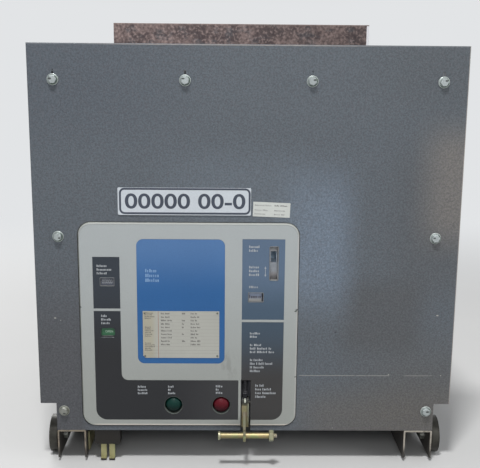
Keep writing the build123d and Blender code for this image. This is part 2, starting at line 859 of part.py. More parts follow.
with BuildPart() as interlock_levers:
    for x in lever_x:
        box_between(
            (x - interlock_width / 2, interlock_depth, interlock_foot_z),
            (x + interlock_width / 2, interlock_depth + interlock_thick, panel_foot),
        )
        box_between(
            (x - interlock_width / 2, interlock_depth - interlock_foot, interlock_foot_z),
            (x + interlock_width / 2, interlock_depth, interlock_foot_z + sheet),
        )
interlock_levers.part.label = "interlock_levers"
export_step(interlock_levers.part, "parts/interlock_levers.step")

with BuildPart() as interlock_bracket:
    channel_inner = half_truck - channel_width
    box_between(
        (-channel_inner, bracket_front, bracket_low),
        (-channel_inner + sheet, bracket_front + bracket_length, bracket_high),
    )
interlock_bracket.part.label = "interlock_bracket"
export_step(interlock_bracket.part, "parts/interlock_bracket.step")

# Pole mounting plate: upright plate between the side sheets, folded forward at its sides
with BuildPart() as pole_mounting_plate:
    plate_half = half_truck - sheet
    box_between((-plate_half, plate_front, pan_top), (plate_half, plate_back, side_top_rear))
    for low, high in ((-plate_half, -plate_half + sheet), (plate_half - sheet, plate_half)):
        box_between((low, plate_front - plate_fold, pan_top), (high, plate_front, side_top_rear))
    with BuildSketch(upright(plate_front)):
        with Locations(*[(x, crank_z) for x in pole_x]):
            Rectangle(3 * crank_thick, 2 * crank_height)
    extrude(amount=-plate_thick, mode=Mode.SUBTRACT)
pole_mounting_plate.part.label = "pole_mounting_plate"
export_step(pole_mounting_plate.part, "parts/pole_mounting_plate.step")

# Stand-offs: ribbed glass-polyester mouldings, two to a pole
shed_start = plate_back + standoff_foot + shed_pitch / 2
for name, level in (("upper_standoffs", upper_z), ("lower_standoffs", lower_z)):
    with BuildPart() as standoffs:
        for x in pole_x:
            with BuildSketch(upright(plate_back)):
                with Locations((x, level)):
                    RectangleRounded(standoff_foot_width, standoff_foot_height, standoff_radius)
            extrude(amount=-standoff_foot)
            with BuildSketch(upright(plate_back + standoff_foot)):
                with Locations((x, level)):
                    RectangleRounded(standoff_width, standoff_height, standoff_radius)
            extrude(amount=-(standoff_reach - standoff_foot))
            for i in range(shed_count):
                with BuildSketch(upright(shed_start + i * shed_pitch)):
                    with Locations((x, level)):
                        RectangleRounded(
                            standoff_width + 2 * shed_rim, standoff_height + 2 * shed_rim, standoff_radius
                        )
                extrude(amount=-shed_thick)
    standoffs.part.label = name
    export_step(standoffs.part, f"parts/{name}.step")

# Vacuum interrupters: ceramic bottles with a shield band, end cups and stems
bar_bottom_upper = upper_z - stab_thick / 2
bar_top_lower = lower_z + stab_thick / 2
bottle_middle = (bar_bottom_upper + bar_top_lower) / 2
for letter, x in zip("abc", pole_x):
    name = f"vacuum_interrupter_{letter}"
    with BuildPart() as interrupter:
        with BuildSketch(Plane.YZ.offset(x)):
            with BuildLine():
                half = bottle_height / 2
                shield = bottle_shield_height / 2
                Polyline(
                    (0, rod_top - bottle_middle),
                    (stem_dia / 2, rod_top - bottle_middle),
                    (stem_dia / 2, -half - bottle_cap_height),
                    (bottle_cap_dia / 2 - bottle_cap_bevel, -half - bottle_cap_height),
                    (bottle_cap_dia / 2, -half - bottle_cap_height + bottle_cap_bevel),
                    (bottle_cap_dia / 2, -half),
                    (bottle_dia / 2, -half),
                    (bottle_dia / 2, -shield),
                    (bottle_shield_dia / 2, -shield),
                    (bottle_shield_dia / 2, shield),
                    (bottle_dia / 2, shield),
                    (bottle_dia / 2, half),
                    (bottle_cap_dia / 2, half),
                    (bottle_cap_dia / 2, half + bottle_cap_height - bottle_cap_bevel),
                    (bottle_cap_dia / 2 - bottle_cap_bevel, half + bottle_cap_height),
                    (stem_dia / 2, half + bottle_cap_height),
                    (stem_dia / 2, bar_bottom_upper - bottle_middle),
                    (0, bar_bottom_upper - bottle_middle),
                    close=True,
                )
            make_face()
        revolve(axis=Axis((x, 0, 0), (0, 0, 1)))
    placed = interrupter.part.moved(Location((0, behind(bottle_depth), bottle_middle)))
    placed.label = name
    export_step(placed, f"parts/{name}.step")

# Stabs: copper bars on the stand-offs, turned round at the rear for the finger clusters
bar_front = plate_back + standoff_reach
finger_root = finger_tip - finger_length
for name, level in (("upper_stabs", upper_z), ("lower_stabs", lower_z)):
    with BuildPart() as stabs:
        for x in pole_x:
            box_between(
                (x - stab_width / 2, bar_front, level - stab_thick / 2),
                (x + stab_width / 2, stab_bar_end, level + stab_thick / 2),
            )
            with BuildSketch(upright(stab_bar_end)):
                with Locations((x, level)):
                    Circle(stab_stem_dia / 2)
            extrude(amount=-(finger_root - stab_bar_end))
            with BuildSketch(upright(finger_root)):
                with Locations((x, level)):
                    Circle(finger_seat_dia / 2)
            extrude(amount=-finger_seat_length)
        if level == lower_z:
            with BuildSketch(Plane.XY.offset(bar_top_lower)):
                with Locations(*[(x, behind(bottle_depth)) for x in pole_x]):
                    Circle(collar_dia / 2)
            extrude(amount=collar_height)
            with BuildSketch(Plane.XY.offset(lower_z - stab_thick)):
                with Locations(*[(x, behind(bottle_depth)) for x in pole_x]):
                    Circle(stem_dia / 2 + seat_gap)
            extrude(amount=3 * stab_thick, mode=Mode.SUBTRACT)
    stabs.part.label = name
    export_step(stabs.part, f"parts/{name}.step")

# One finger of a cluster: it grips the stab at its root and the mating contact at its mouth
grip = finger_bore / 2
seat = finger_seat_dia / 2 + finger_play
with BuildPart() as finger:
    with BuildSketch(Plane.YZ):
        with BuildLine():
            Polyline(
                (0, seat),
                (finger_nose, seat),
                (2 * finger_nose, finger_arch),
                (finger_length - 3 * finger_nose, finger_arch),
                (finger_length - 2 * finger_nose, grip),
                (finger_length - finger_nose, grip),
                (finger_length, grip + finger_flare),
                (finger_length, finger_outer / 2 - finger_flare),
                (finger_length - finger_nose, finger_outer / 2),
                (0, finger_outer / 2),
                close=True,
            )
        make_face()
    revolve(axis=Axis.Y, revolution_arc=finger_arc)
    for groove in (finger_nose, finger_length - 2 * finger_nose):
        with BuildSketch(Plane.XZ.offset(-(groove - spring_wire / 2))):
            Circle(finger_outer)
            Circle(finger_outer / 2 - spring_wire / 2, mode=Mode.SUBTRACT)
        extrude(amount=-spring_wire, mode=Mode.SUBTRACT)

for name, level in (("primary_fingers_upper", upper_z), ("primary_fingers_lower", lower_z)):
    with BuildPart() as cluster:
        for x in pole_x:
            root = Location((x, behind(finger_root), level))
            add([finger.part.rotate(Axis.Y, i * 360 / finger_count).moved(root) for i in range(finger_count)])
    cluster.part.label = name
    export_step(cluster.part, f"parts/{name}.step")

# Garter springs in the fingers' grooves
with BuildPart() as finger_springs:
    ring_inner = finger_outer / 2 - spring_wire / 2 + seat_gap
    for groove in (finger_nose, finger_length - 2 * finger_nose):
        with BuildSketch(upright(finger_root + groove - spring_wire / 2 + seat_gap)):
            with Locations(*[(x, level) for x in pole_x for level in (upper_z, lower_z)]):
                Circle(ring_inner + spring_wire)
                Circle(ring_inner, mode=Mode.SUBTRACT)
        extrude(amount=-(spring_wire - 2 * seat_gap))
finger_springs.part.label = "finger_springs"
export_step(finger_springs.part, "parts/finger_springs.step")

# Drive rods: ribbed insulating rods under the lower stabs
with BuildPart() as drive_rods:
    places = [(x, behind(bottle_depth)) for x in pole_x]
    with BuildSketch(Plane.XY.offset(rod_bottom)):
        with Locations(*places):
            Circle(rod_dia / 2)
    extrude(amount=rod_top - rod_bottom)
    shed_step = (rod_top - rod_bottom) / (rod_shed_count + 1)
    for i in range(rod_shed_count):
        with BuildSketch(Plane.XY.offset(rod_bottom + shed_step * (i + 1) - shed_thick / 2)):
            with Locations(*places):
                Circle(rod_shed_dia / 2)
        extrude(amount=shed_thick)
drive_rods.part.label = "drive_rods"
export_step(drive_rods.part, "parts/drive_rods.step")

# Drive cranks: steel arms through the pole plate, with the round heads that carry the rods
with BuildPart() as drive_cranks:
    for x in pole_x:
        box_between(
            (x - crank_thick / 2, plate_front, crank_z - crank_height / 2),
            (x + crank_thick / 2, bottle_depth, rod_bottom),
        )
        with BuildSketch(Plane.XY.offset(crank_z)):
            with Locations((x, behind(bottle_depth))):
                Circle(crank_head_dia / 2)
        extrude(amount=rod_bottom - crank_z)
drive_cranks.part.label = "drive_cranks"
export_step(drive_cranks.part, "parts/drive_cranks.step")

# Front barrier: tall laminate sheet against the front of the pole plate
with BuildPart() as front_barrier:
    box_between(
        (barrier_left, plate_front - barrier_thick, side_top_rear - barrier_lap),
        (barrier_right, plate_front, barrier_top),
    )
front_barrier.part.label = "front_barrier"
export_step(front_barrier.part, "parts/front_barrier.step")


# Upright laminate wings behind the pole plate, each with a flange against the plate
inner_wings = [(barrier_left + pole_pitch * i, 1) for i in range(1, pole_count)]
outer_wings = [(barrier_left + barrier_thick / 2, -1), (barrier_right - barrier_thick / 2, 1)]
for name, wings in (("interphase_barriers", inner_wings), ("side_barriers", outer_wings)):
    with BuildPart() as barriers:
        for x, flange_side in wings:
            with BuildSketch(Plane.YZ.offset(x - barrier_thick / 2)):
                with BuildLine():
                    Polyline(
                        (behind(plate_back), barrier_wing_bottom),
                        (behind(barrier_rear), barrier_wing_bottom),
                        (behind(barrier_rear), barrier_wing_top - barrier_chamfer),
                        (behind(barrier_rear - barrier_chamfer), barrier_wing_top),
                        (behind(plate_front), barrier_wing_top),
                        (behind(plate_front), side_top_rear),
                        (behind(plate_back), side_top_rear),
                        close=True,
                    )
                make_face()
            extrude(amount=barrier_thick)
            edge = x + flange_side * barrier_thick / 2
            low, high = sorted((edge, edge + flange_side * barrier_flange))
            box_between(
                (low, plate_back, barrier_wing_bottom),
                (high, plate_back + barrier_thick, side_top_rear),
            )
    barriers.part.label = name
    export_step(barriers.part, f"parts/{name}.step")

# Ground contact: sprung block under the pan, for the cell's ground bar
with BuildPart() as ground_contact:
    box_between(
        (ground_x - ground_width / 2, pan_rear - ground_length, panel_foot - sheet),
        (ground_x + ground_width / 2, pan_rear, panel_foot),
    )
    for x in (ground_x - ground_width / 4, ground_x + ground_width / 4):
        box_between(
            (x - ground_finger / 2, pan_rear - ground_length, ground_bottom),
            (x + ground_finger / 2, pan_rear, panel_foot - sheet),
        )
ground_contact.part.label = "ground_contact"
export_step(ground_contact.part, "parts/ground_contact.step")

# Secondary contact block on the pan, with its pins to the rear
with BuildPart() as secondary_contact_block:
    box_between(
        (secondary_x - secondary_width / 2, pan_rear - secondary_length, pan_top),
        (secondary_x + secondary_width / 2, pan_rear, pan_top + secondary_height),
    )
    with BuildSketch(upright(pan_rear)):
        with Locations((secondary_x, pan_top + secondary_height / 2)):
            with GridLocations(secondary_pitch_x, secondary_pitch_z, 6, 2):
                Circle(secondary_pin_dia / 2)
    extrude(amount=-secondary_pin)
secondary_contact_block.part.label = "secondary_contact_block"
export_step(secondary_contact_block.part, "parts/secondary_contact_block.step")

# Levering bracket: plate on the rear cross member with the hole for the cell's levering screw
with BuildPart() as levering_bracket:
    with BuildSketch(upright(channel_length)):
        with Locations((0, panel_foot + levering_z - levering_height / 2)):
            Rectangle(levering_width, levering_height)
        with Locations((0, panel_foot + levering_z - levering_height / 2)):
            Circle(levering_bore / 2, mode=Mode.SUBTRACT)
    extrude(amount=-levering_thick)
levering_bracket.part.label = "levering_bracket"
export_step(levering_bracket.part, "parts/levering_bracket.step")
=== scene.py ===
# Drawout vacuum circuit breaker of a substation's indoor switchgear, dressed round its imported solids.
# Metres. X points to the operator's right, Y to the rear and Z up.
import itertools
import math
import random

import bmesh
import bpy
from mathutils import Matrix, Vector


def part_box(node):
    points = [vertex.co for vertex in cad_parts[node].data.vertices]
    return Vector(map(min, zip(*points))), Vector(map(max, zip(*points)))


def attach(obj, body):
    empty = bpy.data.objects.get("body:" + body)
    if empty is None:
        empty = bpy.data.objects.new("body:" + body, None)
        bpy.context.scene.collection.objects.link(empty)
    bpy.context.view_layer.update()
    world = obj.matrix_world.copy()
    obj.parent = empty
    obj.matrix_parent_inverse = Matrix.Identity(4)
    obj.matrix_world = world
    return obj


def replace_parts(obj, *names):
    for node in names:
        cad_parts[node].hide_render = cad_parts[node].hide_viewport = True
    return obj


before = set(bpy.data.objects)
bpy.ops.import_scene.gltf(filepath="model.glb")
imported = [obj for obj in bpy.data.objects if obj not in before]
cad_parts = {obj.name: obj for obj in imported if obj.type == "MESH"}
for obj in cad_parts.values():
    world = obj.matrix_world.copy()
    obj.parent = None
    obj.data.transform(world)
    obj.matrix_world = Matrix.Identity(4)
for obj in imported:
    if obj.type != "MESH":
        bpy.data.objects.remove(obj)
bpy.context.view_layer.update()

# Truck frame: wheel channels, pan, side sheets, top rail and rear cross member. It is folded 3 mm
# steel sheet in dark grey enamel, welded and bolted. The enamel is rubbed through along cut edges,
# and dust lies on what is level.
front_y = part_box("front_panel")[0].y
half_truck = 341


def operator(operation, swapped=False):
    """A method that adds this Math node, with the signal as its first value unless swapped."""

    def method(self, other=0.0):
        first, second = (other, self) if swapped else (self, other)
        return self.finish.node("Math", {"operation": operation}, {0: first, 1: second})

    return method


class Signal:
    """One output of a finish's nodes. Sums and products of it add the Math nodes they stand for."""

    def __init__(self, finish, socket):
        self.finish = finish
        self.socket = socket

    __add__ = __radd__ = operator("ADD")
    __sub__, __rsub__ = operator("SUBTRACT"), operator("SUBTRACT", swapped=True)
    __mul__ = __rmul__ = operator("MULTIPLY")
    __pow__, __abs__ = operator("POWER"), operator("ABSOLUTE")
    most, fraction = operator("MAXIMUM"), operator("FRACT")

    def step(self, low, high):
        """0 below low and 1 above high, eased between them."""
        settings = {"interpolation_type": "SMOOTHSTEP"}
        return self.finish.node("MapRange", settings, {"Value": self, "From Min": low, "From Max": high})

    def fall(self, low, high):
        """1 below low and 0 above high, eased between them."""
        return 1 - self.step(low, high)

    def between(self, low, high, soft=0.0004):
        """1 from low to high, fading over this softness to 0 on both sides."""
        return self.step(low - soft, low) * self.fall(high, high + soft)

    def hypot(self, other):
        return (self * self + other * other) ** 0.5


class Finish:
    """The nodes of one material or world, with the place on the piece ready as x, y and z."""

    looks = {"colour": "Base Color", "rough": "Roughness", "metal": "Metallic", "normal": "Normal"}
    looks["gloss"] = "Specular IOR Level"

    def __init__(self, owner):
        self.owner = bpy.data.materials.new(owner) if isinstance(owner, str) else owner
        self.owner.use_nodes = True
        self.tree = self.owner.node_tree
        self.place = self.node("TexCoord", out="Object")
        self.x, self.y, self.z = self.apart(self.place)

    def node(self, kind, settings=None, inputs=None, out=0):
        """Add a node of this type: its settings first, a ramp's stops among them, then its inputs."""
        made = self.tree.nodes.new("ShaderNode" + kind)
        for name, value in (settings or {}).items():
            if name == "stops":
                ramp = made.color_ramp.elements
                while len(ramp) < len(value):
                    ramp.new(0.5)
                for element, (position, colour) in zip(ramp, value):
                    element.position = position
                    element.color = colour
            else:
                setattr(made, name, value)
        self.feed(made, inputs or {})
        return Signal(self, made.outputs[out])

    def feed(self, node, inputs):
        for key, value in inputs.items():
            if isinstance(value, Signal):
                self.tree.links.new(value.socket, node.inputs[key])
            else:
                node.inputs[key].default_value = value

    def apart(self, vector):
        parts = self.node("SeparateXYZ", inputs={0: vector}).socket.node.outputs
        return [Signal(self, socket) for socket in parts]

    def faces(self):
        """The x, y and z of the direction that the surface faces."""
        return self.apart(self.node("NewGeometry", out="True Normal"))

    def paint(self, **looks):
        """Set the surface's colour, rough, metal, gloss or normal."""
        inputs = {self.looks[name]: value for name, value in looks.items()}
        self.feed(self.tree.nodes["Principled BSDF"], inputs)
        return self

    def over(self, share, colour):
        """Lay a colour over the base colour by this share."""
        below = self.tree.nodes["Principled BSDF"].inputs["Base Color"].links[0].from_socket
        return self.paint(colour=self.mix(share, Signal(self, below), colour))

    def noise(self, scale, detail=2.0, stretch=(1, 1, 1)):
        place = self.node("VectorMath", {"operation": "MULTIPLY"}, {0: self.place, 1: stretch})
        return self.node("TexNoise", inputs={"Vector": place, "Scale": scale, "Detail": detail})

    def patch(self, across, up):
        """A field on the front, given as low, high and softness across and up."""
        return self.x.between(*across) * self.z.between(*up)

    def inset(self, low_x, high_x, low_z, high_z, radius):
        """How far inside a rounded outline on the front a point lies, good to that radius from the edge."""
        past_x = abs(self.x - (low_x + high_x) / 2) - ((high_x - low_x) / 2 - radius)
        past_z = abs(self.z - (low_z + high_z) / 2) - ((high_z - low_z) / 2 - radius)
        return radius - past_x.most(0.0).hypot(past_z.most(0.0))

    def spots(self, places):
        """A mark at each (x, z, size) on the front, in millimetres, wider than it is high."""
        gaps = [((self.x - x / 1000).hypot((self.z - z / 1000) * 1.8), size / 1000) for x, z, size in places]
        return sum(gap.fall(size * 0.6, size) for gap, size in gaps)

    def mix(self, share, first, second):
        """Two colours, each a signal or its screen values, mixed by this share of the second."""
        first, second = [c if isinstance(c, Signal) else tint(*c) for c in (first, second)]
        return self.node("Mix", {"data_type": "RGBA"}, {0: share, 6: first, 7: second}, out=2)

    def shade(self, colour, tone):
        """A colour, as a signal or its screen values, made lighter or darker by this tone."""
        colour = colour if isinstance(colour, Signal) else tint(*colour)[:3]
        return self.node("VectorMath", {"operation": "SCALE"}, {0: colour, "Scale": tone})

    def edges(self, width):
        """How far the piece turns a corner within this width, and the normal rounded over it."""
        rounded = self.node("Bevel", {"samples": 6}, {"Radius": width})
        true = self.node("NewGeometry", out="True Normal")
        same = self.node("VectorMath", {"operation": "DOT_PRODUCT"}, {0: rounded, 1: true}, out="Value")
        return (1 - same).step(0.02, 0.25), rounded

    def ripple(self, height, depth, normal=None):
        """A bump of this depth in metres, on top of another normal where one is given."""
        inputs = {"Strength": 1.0, "Distance": depth, "Height": height}
        return self.node("Bump", inputs=inputs | ({"Normal": normal} if normal else {}))


def tint(*screen):
    """The colour that renders as these screen values of red, green and blue, from 0 to 255."""
    parts = [value / 255 for value in screen]
    return tuple(v / 12.92 if v <= 0.04045 else ((v + 0.055) / 1.055) ** 2.4 for v in parts) + (1.0,)


def coated(name, colour, worn, rough=0.5, metal=0.0, drift=0.12, speck=(500, 0.08), wear=0.6, dust=0.0):
    """A finish whose tone drifts and specks, its edges rounded and rubbed to the worn colour, dust on top."""
    finish = Finish(name)
    clouds = finish.noise(7, 3)
    specks = finish.noise(speck[0], 2)
    corner, rounded = finish.edges(0.0009)
    rubbed = corner * finish.noise(110, 4).step(0.42, 0.62) * wear
    tone = 1 + (clouds - 0.5) * drift * 2 + (specks - 0.5) * speck[1] * 2
    base = finish.mix(rubbed, finish.shade(colour, tone), worn)
    finish.paint(
        colour=base,
        rough=rough + (clouds - 0.5) * 0.18 - rubbed * 0.15,
        metal=metal + rubbed * (0.8 - metal) if metal < 0.8 else metal,
        gloss=0.35,
        normal=finish.ripple(specks, 0.00003, rounded),
    )
    if dust:
        finish.over(finish.faces()[2].step(0.85, 0.97) * finish.noise(24, 5) * dust * 2, (140, 133, 120))
    return finish


def dress(finish, *names):
    for name in names:
        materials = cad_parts[name].data.materials
        materials.clear()
        materials.append(finish.owner)


frame_enamel = coated("frame_enamel", (70, 73, 77), (150, 150, 145), rough=0.46, wear=0.7, dust=0.3)
dress(frame_enamel, "side_sheet_left", "side_sheet_right", "top_rail", "pole_mounting_plate")
dress(frame_enamel, "mechanism_housing", "base_pan", "rear_cross_member")
channel = coated("channel_enamel", (60, 57, 54), (150, 146, 138), dust=0.4)
sheared = channel.faces()[1].fall(-0.97, -0.9)
rubs = channel.noise(90, 4).step(0.25, 0.5)
# The front edges are worn to bare metal. Painted light: that bare edge is painted paler on the right channel
# than on the left, and fades out below 16 to 34 mm as painted shade on the lower legs.
bare_edge_lit_right = channel.mix(channel.x.step(-0.2, 0.2), (138, 128, 112), (176, 170, 158))
above_shade = channel.z.step(0.016, 0.034)
channel.over(sheared * rubs * above_shade * 0.8, bare_edge_lit_right)
dress(channel, "wheel_channel_left", "wheel_channel_right")


def at(x, depth, z):
    """A point given in millimetres, with its depth behind the panel's front face."""
    return Vector((x / 1000, front_y + depth / 1000, z / 1000))


def facing(spot, direction):
    """The placement that puts an upright piece at this spot, turned to point in this direction."""
    return Matrix.Translation(spot) @ Vector(direction).to_track_quat("Z", "Y").to_matrix().to_4x4()


def skin(shape, rings, closed=False):
    """Add faces from each ring of points to the next, back to the first if closed, or else with caps."""
    rings = [[shape.verts.new(point) for point in ring] for ring in rings]
    for near, far in zip(rings, rings[1:] + rings[:1] if closed else rings[1:]):
        for i in range(max(len(near), len(far))):
            j = i + 1
            corners = (near[i % len(near)], near[j % len(near)], far[j % len(far)], far[i % len(far)])
            if len(set(corners)) > 2:
                shape.faces.new(list(dict.fromkeys(corners)))
    for ring in (rings[0], rings[-1]):
        if len(ring) > 2 and not closed:
            shape.faces.new(ring)


def turned(shape, profile, place, sides=24, closed=False):
    """Turn these (radius, height) points, in millimetres, about the place's axis. closed makes a ring."""
    rings = []
    for radius, height in profile:
        angles = [math.tau * i / sides for i in range(sides if radius else 1)]
        points = [Vector((radius * math.cos(a), radius * math.sin(a), height)) / 1000 for a in angles]
        rings.append([place @ point for point in points])
    skin(shape, rings, closed)


def bolt(shape, spot, direction, across):
    """Add a washer and a chamfered hexagon head this wide across its flats, seated at the spot."""
    place = facing(spot, direction)
    thick = across * 0.13
    washer = [(0, 0), (across * 0.88, 0), (across * 0.92, thick * 0.4), (across * 0.86, thick), (0, thick)]
    turned(shape, washer, place)
    corner = across / math.sqrt(3)
    top = thick + across * 0.58
    head = [(0, thick / 2), (corner, thick / 2), (corner, top - across * 0.1), (corner * 0.87, top), (0, top)]
    turned(shape, head, place, 6)


def placed(name, data):
    made = bpy.data.objects.new(name, data)
    bpy.context.scene.collection.objects.link(made)
    return made


def piece(name, shape, finish, body="truck", smooth=35):
    """Turn a shape into a piece of the object that rides on this body."""
    bmesh.ops.recalc_face_normals(shape, faces=shape.faces)
    for face in shape.faces:
        face.smooth = True
    mesh = bpy.data.meshes.new(name)
    shape.to_mesh(mesh)
    shape.free()
    mesh.set_sharp_from_angle(angle=math.radians(smooth))
    mesh.materials.append(finish.owner)
    made = placed(name, mesh)
    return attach(made, body)


def bolts(name, *rows):
    """Make a piece of zinc-plated bolts. A row gives every x, depth and z, a direction and a width."""
    shape = bmesh.new()
    for xs, depths, heights, direction, across in rows:
        for spot in itertools.product(xs, depths, heights):
            bolt(shape, at(*spot), direction, across)
    piece(name, shape, zinc)


zinc = coated("zinc_plate", (168, 170, 163), (214, 214, 208), rough=0.36, metal=0.85, drift=0.2, wear=0.3)
pan_x, tie_x = half_truck - 26, half_truck - 60
bolts(
    "frame_bolts",
    *[((side * half_truck,), (293,), (110, 230, 350, 470, 590), (side, 0, 0), 13) for side in (-1, 1)],
    ((-pan_x, pan_x), (26, 95, 200, 320, 410), (63.5,), (0, 0, 1), 10),
    ((-tie_x, tie_x), (600,), (41,), (0, 1, 0), 10),
    ((-280, -120, 120, 280), (22,), (715,), (0, 0, 1), 8),
)

# Wheels: rollers of dark iron on shouldered studs, with a tread rolled bright and grease about the
# hub. They are turned on a lathe, so fine rings run round their faces.
wheel_z = 34
axle_depths = {"front": 48.5, "rear": 520}
for end, axle_depth in axle_depths.items():
    iron = Finish(f"wheel_iron_{end}")
    across_y = iron.y - at(0, axle_depth, 0).y
    across_z = iron.z - wheel_z / 1000
    radius = across_y.hypot(across_z)
    rings = iron.node("TexNoise", {"noise_dimensions": "1D"}, {"W": radius, "Scale": 900, "Detail": 2})
    patches = iron.noise(60, 4)
    tread = radius.step(0.0329, 0.0336)
    grease = radius.fall(0.011, 0.021) * patches.step(0.35, 0.6)
    dark = iron.shade((40, 38, 33), 0.75 + rings * 0.3 + patches * 0.2)
    scuffed = iron.mix(tread * patches.step(0.3, 0.6), dark, (60, 59, 53))
    iron.paint(
        colour=iron.mix(grease * 0.8, scuffed, (28, 24, 20)),
        metal=0.2 + tread * 0.25 - grease * 0.15,
        rough=0.5 - tread * 0.15 - grease * 0.2 + patches * 0.1,
        normal=iron.ripple(rings, 0.00004, iron.edges(0.0008)[1]),
    )
    dress(iron, f"wheel_{end}_left", f"wheel_{end}_right")
dress(zinc, "axle_studs")
ring_section = [(8.4, 0), (11.2, 0), (11.6, 0.5), (11.2, 1), (8.4, 1)]
nib_section = [(0, -0.2), (2.1, -0.2), (2.1, 0.5), (1.2, 0.9), (0, 0.9)]
ring_x, nib_x, nib_off = 360.3, 363.1, 7.5
shape = bmesh.new()
for side, axle_depth in itertools.product((-1, 1), axle_depths.values()):
    middle = at(side * ring_x, axle_depth, wheel_z)
    turned(shape, ring_section, facing(middle, (side, 0, 0)), 32, closed=True)
    for degrees in (90, 210, 330):
        turn = math.radians(degrees)
        nib = at(side * nib_x, axle_depth + nib_off * math.cos(turn), wheel_z + nib_off * math.sin(turn))
        turned(shape, nib_section, facing(nib, (side, 0, 0)), 12)
piece("wheel_retainers", shape, zinc)

# Pole supports: six ribbed mouldings of red-brown glass polyester, bolted through the pole plate.
# The moulding is matt, with paler flow marks, glass specks and a dusty top.
polyester = coated(
    "glass_polyester", (116, 55, 41), (164, 118, 96), rough=0.55, drift=0.3, speck=(260, 0.2), wear=0.35
)
dress(polyester, "upper_standoffs", "lower_standoffs")
pole_x = (-178.8, -8.5, 161.8)
contact_levels = (300, 590)
foot_x = [x + across for x in pole_x for across in (-44, 44)]
foot_z = [z + up for z in contact_levels for up in (-36, 36)]
bolts("support_bolts", (foot_x, (325,), foot_z, (0, 1, 0), 11))

# Vacuum interrupters: glazed ceramic bottles with stainless end cups, stems and a shield band,
# upright between the copper bars. The glaze is off-white with faint specks.
ceramic = Finish("glazed_ceramic")
bottle_middle = 0.445
from_middle = abs(ceramic.z - bottle_middle)
steel_part = from_middle.step(0.1002, 0.1008) + from_middle.fall(0.0168, 0.0172)
brushed = ceramic.noise(14, 3, stretch=(1, 1, 60))
glaze = ceramic.shade((226, 221, 208), 0.93 + ceramic.noise(9, 3) * 0.14)
specked = ceramic.mix(ceramic.noise(420, 1).step(0.72, 0.78) * 0.4, glaze, (120, 105, 88))
steel = ceramic.shade((170, 169, 164), 0.8 + brushed * 0.4)
ceramic.paint(
    colour=ceramic.mix(steel_part, specked, steel),
    metal=steel_part,
    rough=0.16 + steel_part * 0.2 + brushed * 0.08,
    normal=ceramic.ripple(ceramic.noise(30), 0.0001, ceramic.edges(0.0012)[1]),
)
dress(ceramic, "vacuum_interrupter_a", "vacuum_interrupter_b", "vacuum_interrupter_c")

# Stabs: copper bars on the supports, turned round at the rear and silvered where they touch. The
# silver has gone brown in patches, and zinc bolts clamp the bars to the bottles and the supports.
silver = Finish("silvered_copper")
patches = silver.noise(34, 5)
brushed = silver.noise(26, 3, stretch=(20, 1, 1))
tarnish = patches.step(0.42, 0.66)
corner, rounded = silver.edges(0.0008)
bright = silver.shade((196, 190, 176), 0.85 + brushed * 0.3)
bright = silver.mix(corner * 0.5, bright, (196, 130, 88))
silver.paint(
    colour=silver.mix(tarnish * 0.75, bright, (116, 88, 60)),
    metal=1.0,
    rough=0.3 + tarnish * 0.2,
    normal=silver.ripple(brushed, 0.00003, rounded),
)
dress(silver, "upper_stabs", "lower_stabs")
clamp_x = [x + across for x in pole_x for across in (-16, 16)]
bolts("stab_bolts", (pole_x, (470,), (605,), (0, 0, 1), 19), (clamp_x, (432,), (315, 605), (0, 0, 1), 10))

# Finger clusters: twelve silvered copper fingers round each stab, held in by two garter springs.
# A garter spring is a close-wound coil of bright wire joined into a ring, one in each groove.
dress(silver, "primary_fingers_upper", "primary_fingers_lower")
spring_wire = coated("spring_wire", (168, 170, 172), (220, 220, 220), rough=0.28, metal=1.0, wear=0.0)


def wound(shape, path, wire, sides, closed=False):
    """Add wire of this radius in millimetres. Each point of the path has the direction out of the coil."""
    rings = []
    for i, (point, outward) in enumerate(path):
        after = path[(i + 1) % len(path)][0] if closed or i + 1 < len(path) else point
        before = path[i - 1][0] if closed or i else point
        along = (after - before).normalized()
        out = (outward - along * outward.dot(along)).normalized()
        across = along.cross(out)
        angles = [math.tau * k / sides for k in range(sides)]
        rings.append([point + (out * math.cos(a) + across * math.sin(a)) * wire / 1000 for a in angles])
    skin(shape, rings, closed)


spring_turns = 96
steps_per_turn = 7
shape = bmesh.new()
for spot in itertools.product(pole_x, (601, 639), contact_levels):
    path = []
    for i in range(spring_turns * steps_per_turn):
        coil_turn = math.tau * i / steps_per_turn
        ring_turn = coil_turn / spring_turns
        spoke = Vector((math.cos(ring_turn), 0, math.sin(ring_turn)))
        out = spoke * math.cos(coil_turn) + Vector((0, math.sin(coil_turn), 0))
        path.append((at(*spot) + spoke * 0.0333 + out * 0.00115, out))
    wound(shape, path, 0.36, sides=4, closed=True)
springs = piece("garter_springs", shape, spring_wire, smooth=80)
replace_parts(springs, "finger_springs")

# Drive rods and cranks: cast resin rods with sheds under the lower bars, standing on the round heads
# of zinc-plated steel cranks that come through the pole plate.
resin = coated(
    "cast_resin", (142, 66, 44), (186, 128, 100), rough=0.42, drift=0.2, speck=(180, 0.1), wear=0.3
)
dress(resin, "drive_rods")
dress(zinc, "drive_cranks")

# Barriers: 5 mm laminate sheets, purple-brown and mottled, in front of the poles, between them and
# at both sides. They are sawn, so their cut edges show pale glass, and bolts hold their flanges.
sheet = Finish("glass_laminate")
mottle = sheet.noise(38, 5)
flecks = sheet.noise(190, 3)
weave = sheet.noise(320, 2, stretch=(1, 1, 0.25))
normal_x, normal_y = sheet.faces()[:2]
front_sheet = sheet.y.fall(front_y + 0.3051, front_y + 0.3056)
across_x = abs(normal_x).step(0.5, 0.6)
across_y = abs(normal_y).step(0.5, 0.6)
flange = sheet.y.fall(front_y + 0.3163, front_y + 0.3168) * across_y
sawn = 1 - (front_sheet * across_y + (1 - front_sheet) * across_x.most(flange))
brown = sheet.mix(mottle.step(0.36, 0.64), (76, 66, 66), (114, 99, 96))
grey_clouds = sheet.noise(60, 2, stretch=(0.8, 1, 1.3)).step(0.52, 0.7)
brown = sheet.mix(grey_clouds * 0.5, brown, (82, 84, 88))
brown = sheet.mix(flecks.step(0.5, 0.66) * 0.5, brown, (152, 134, 130))
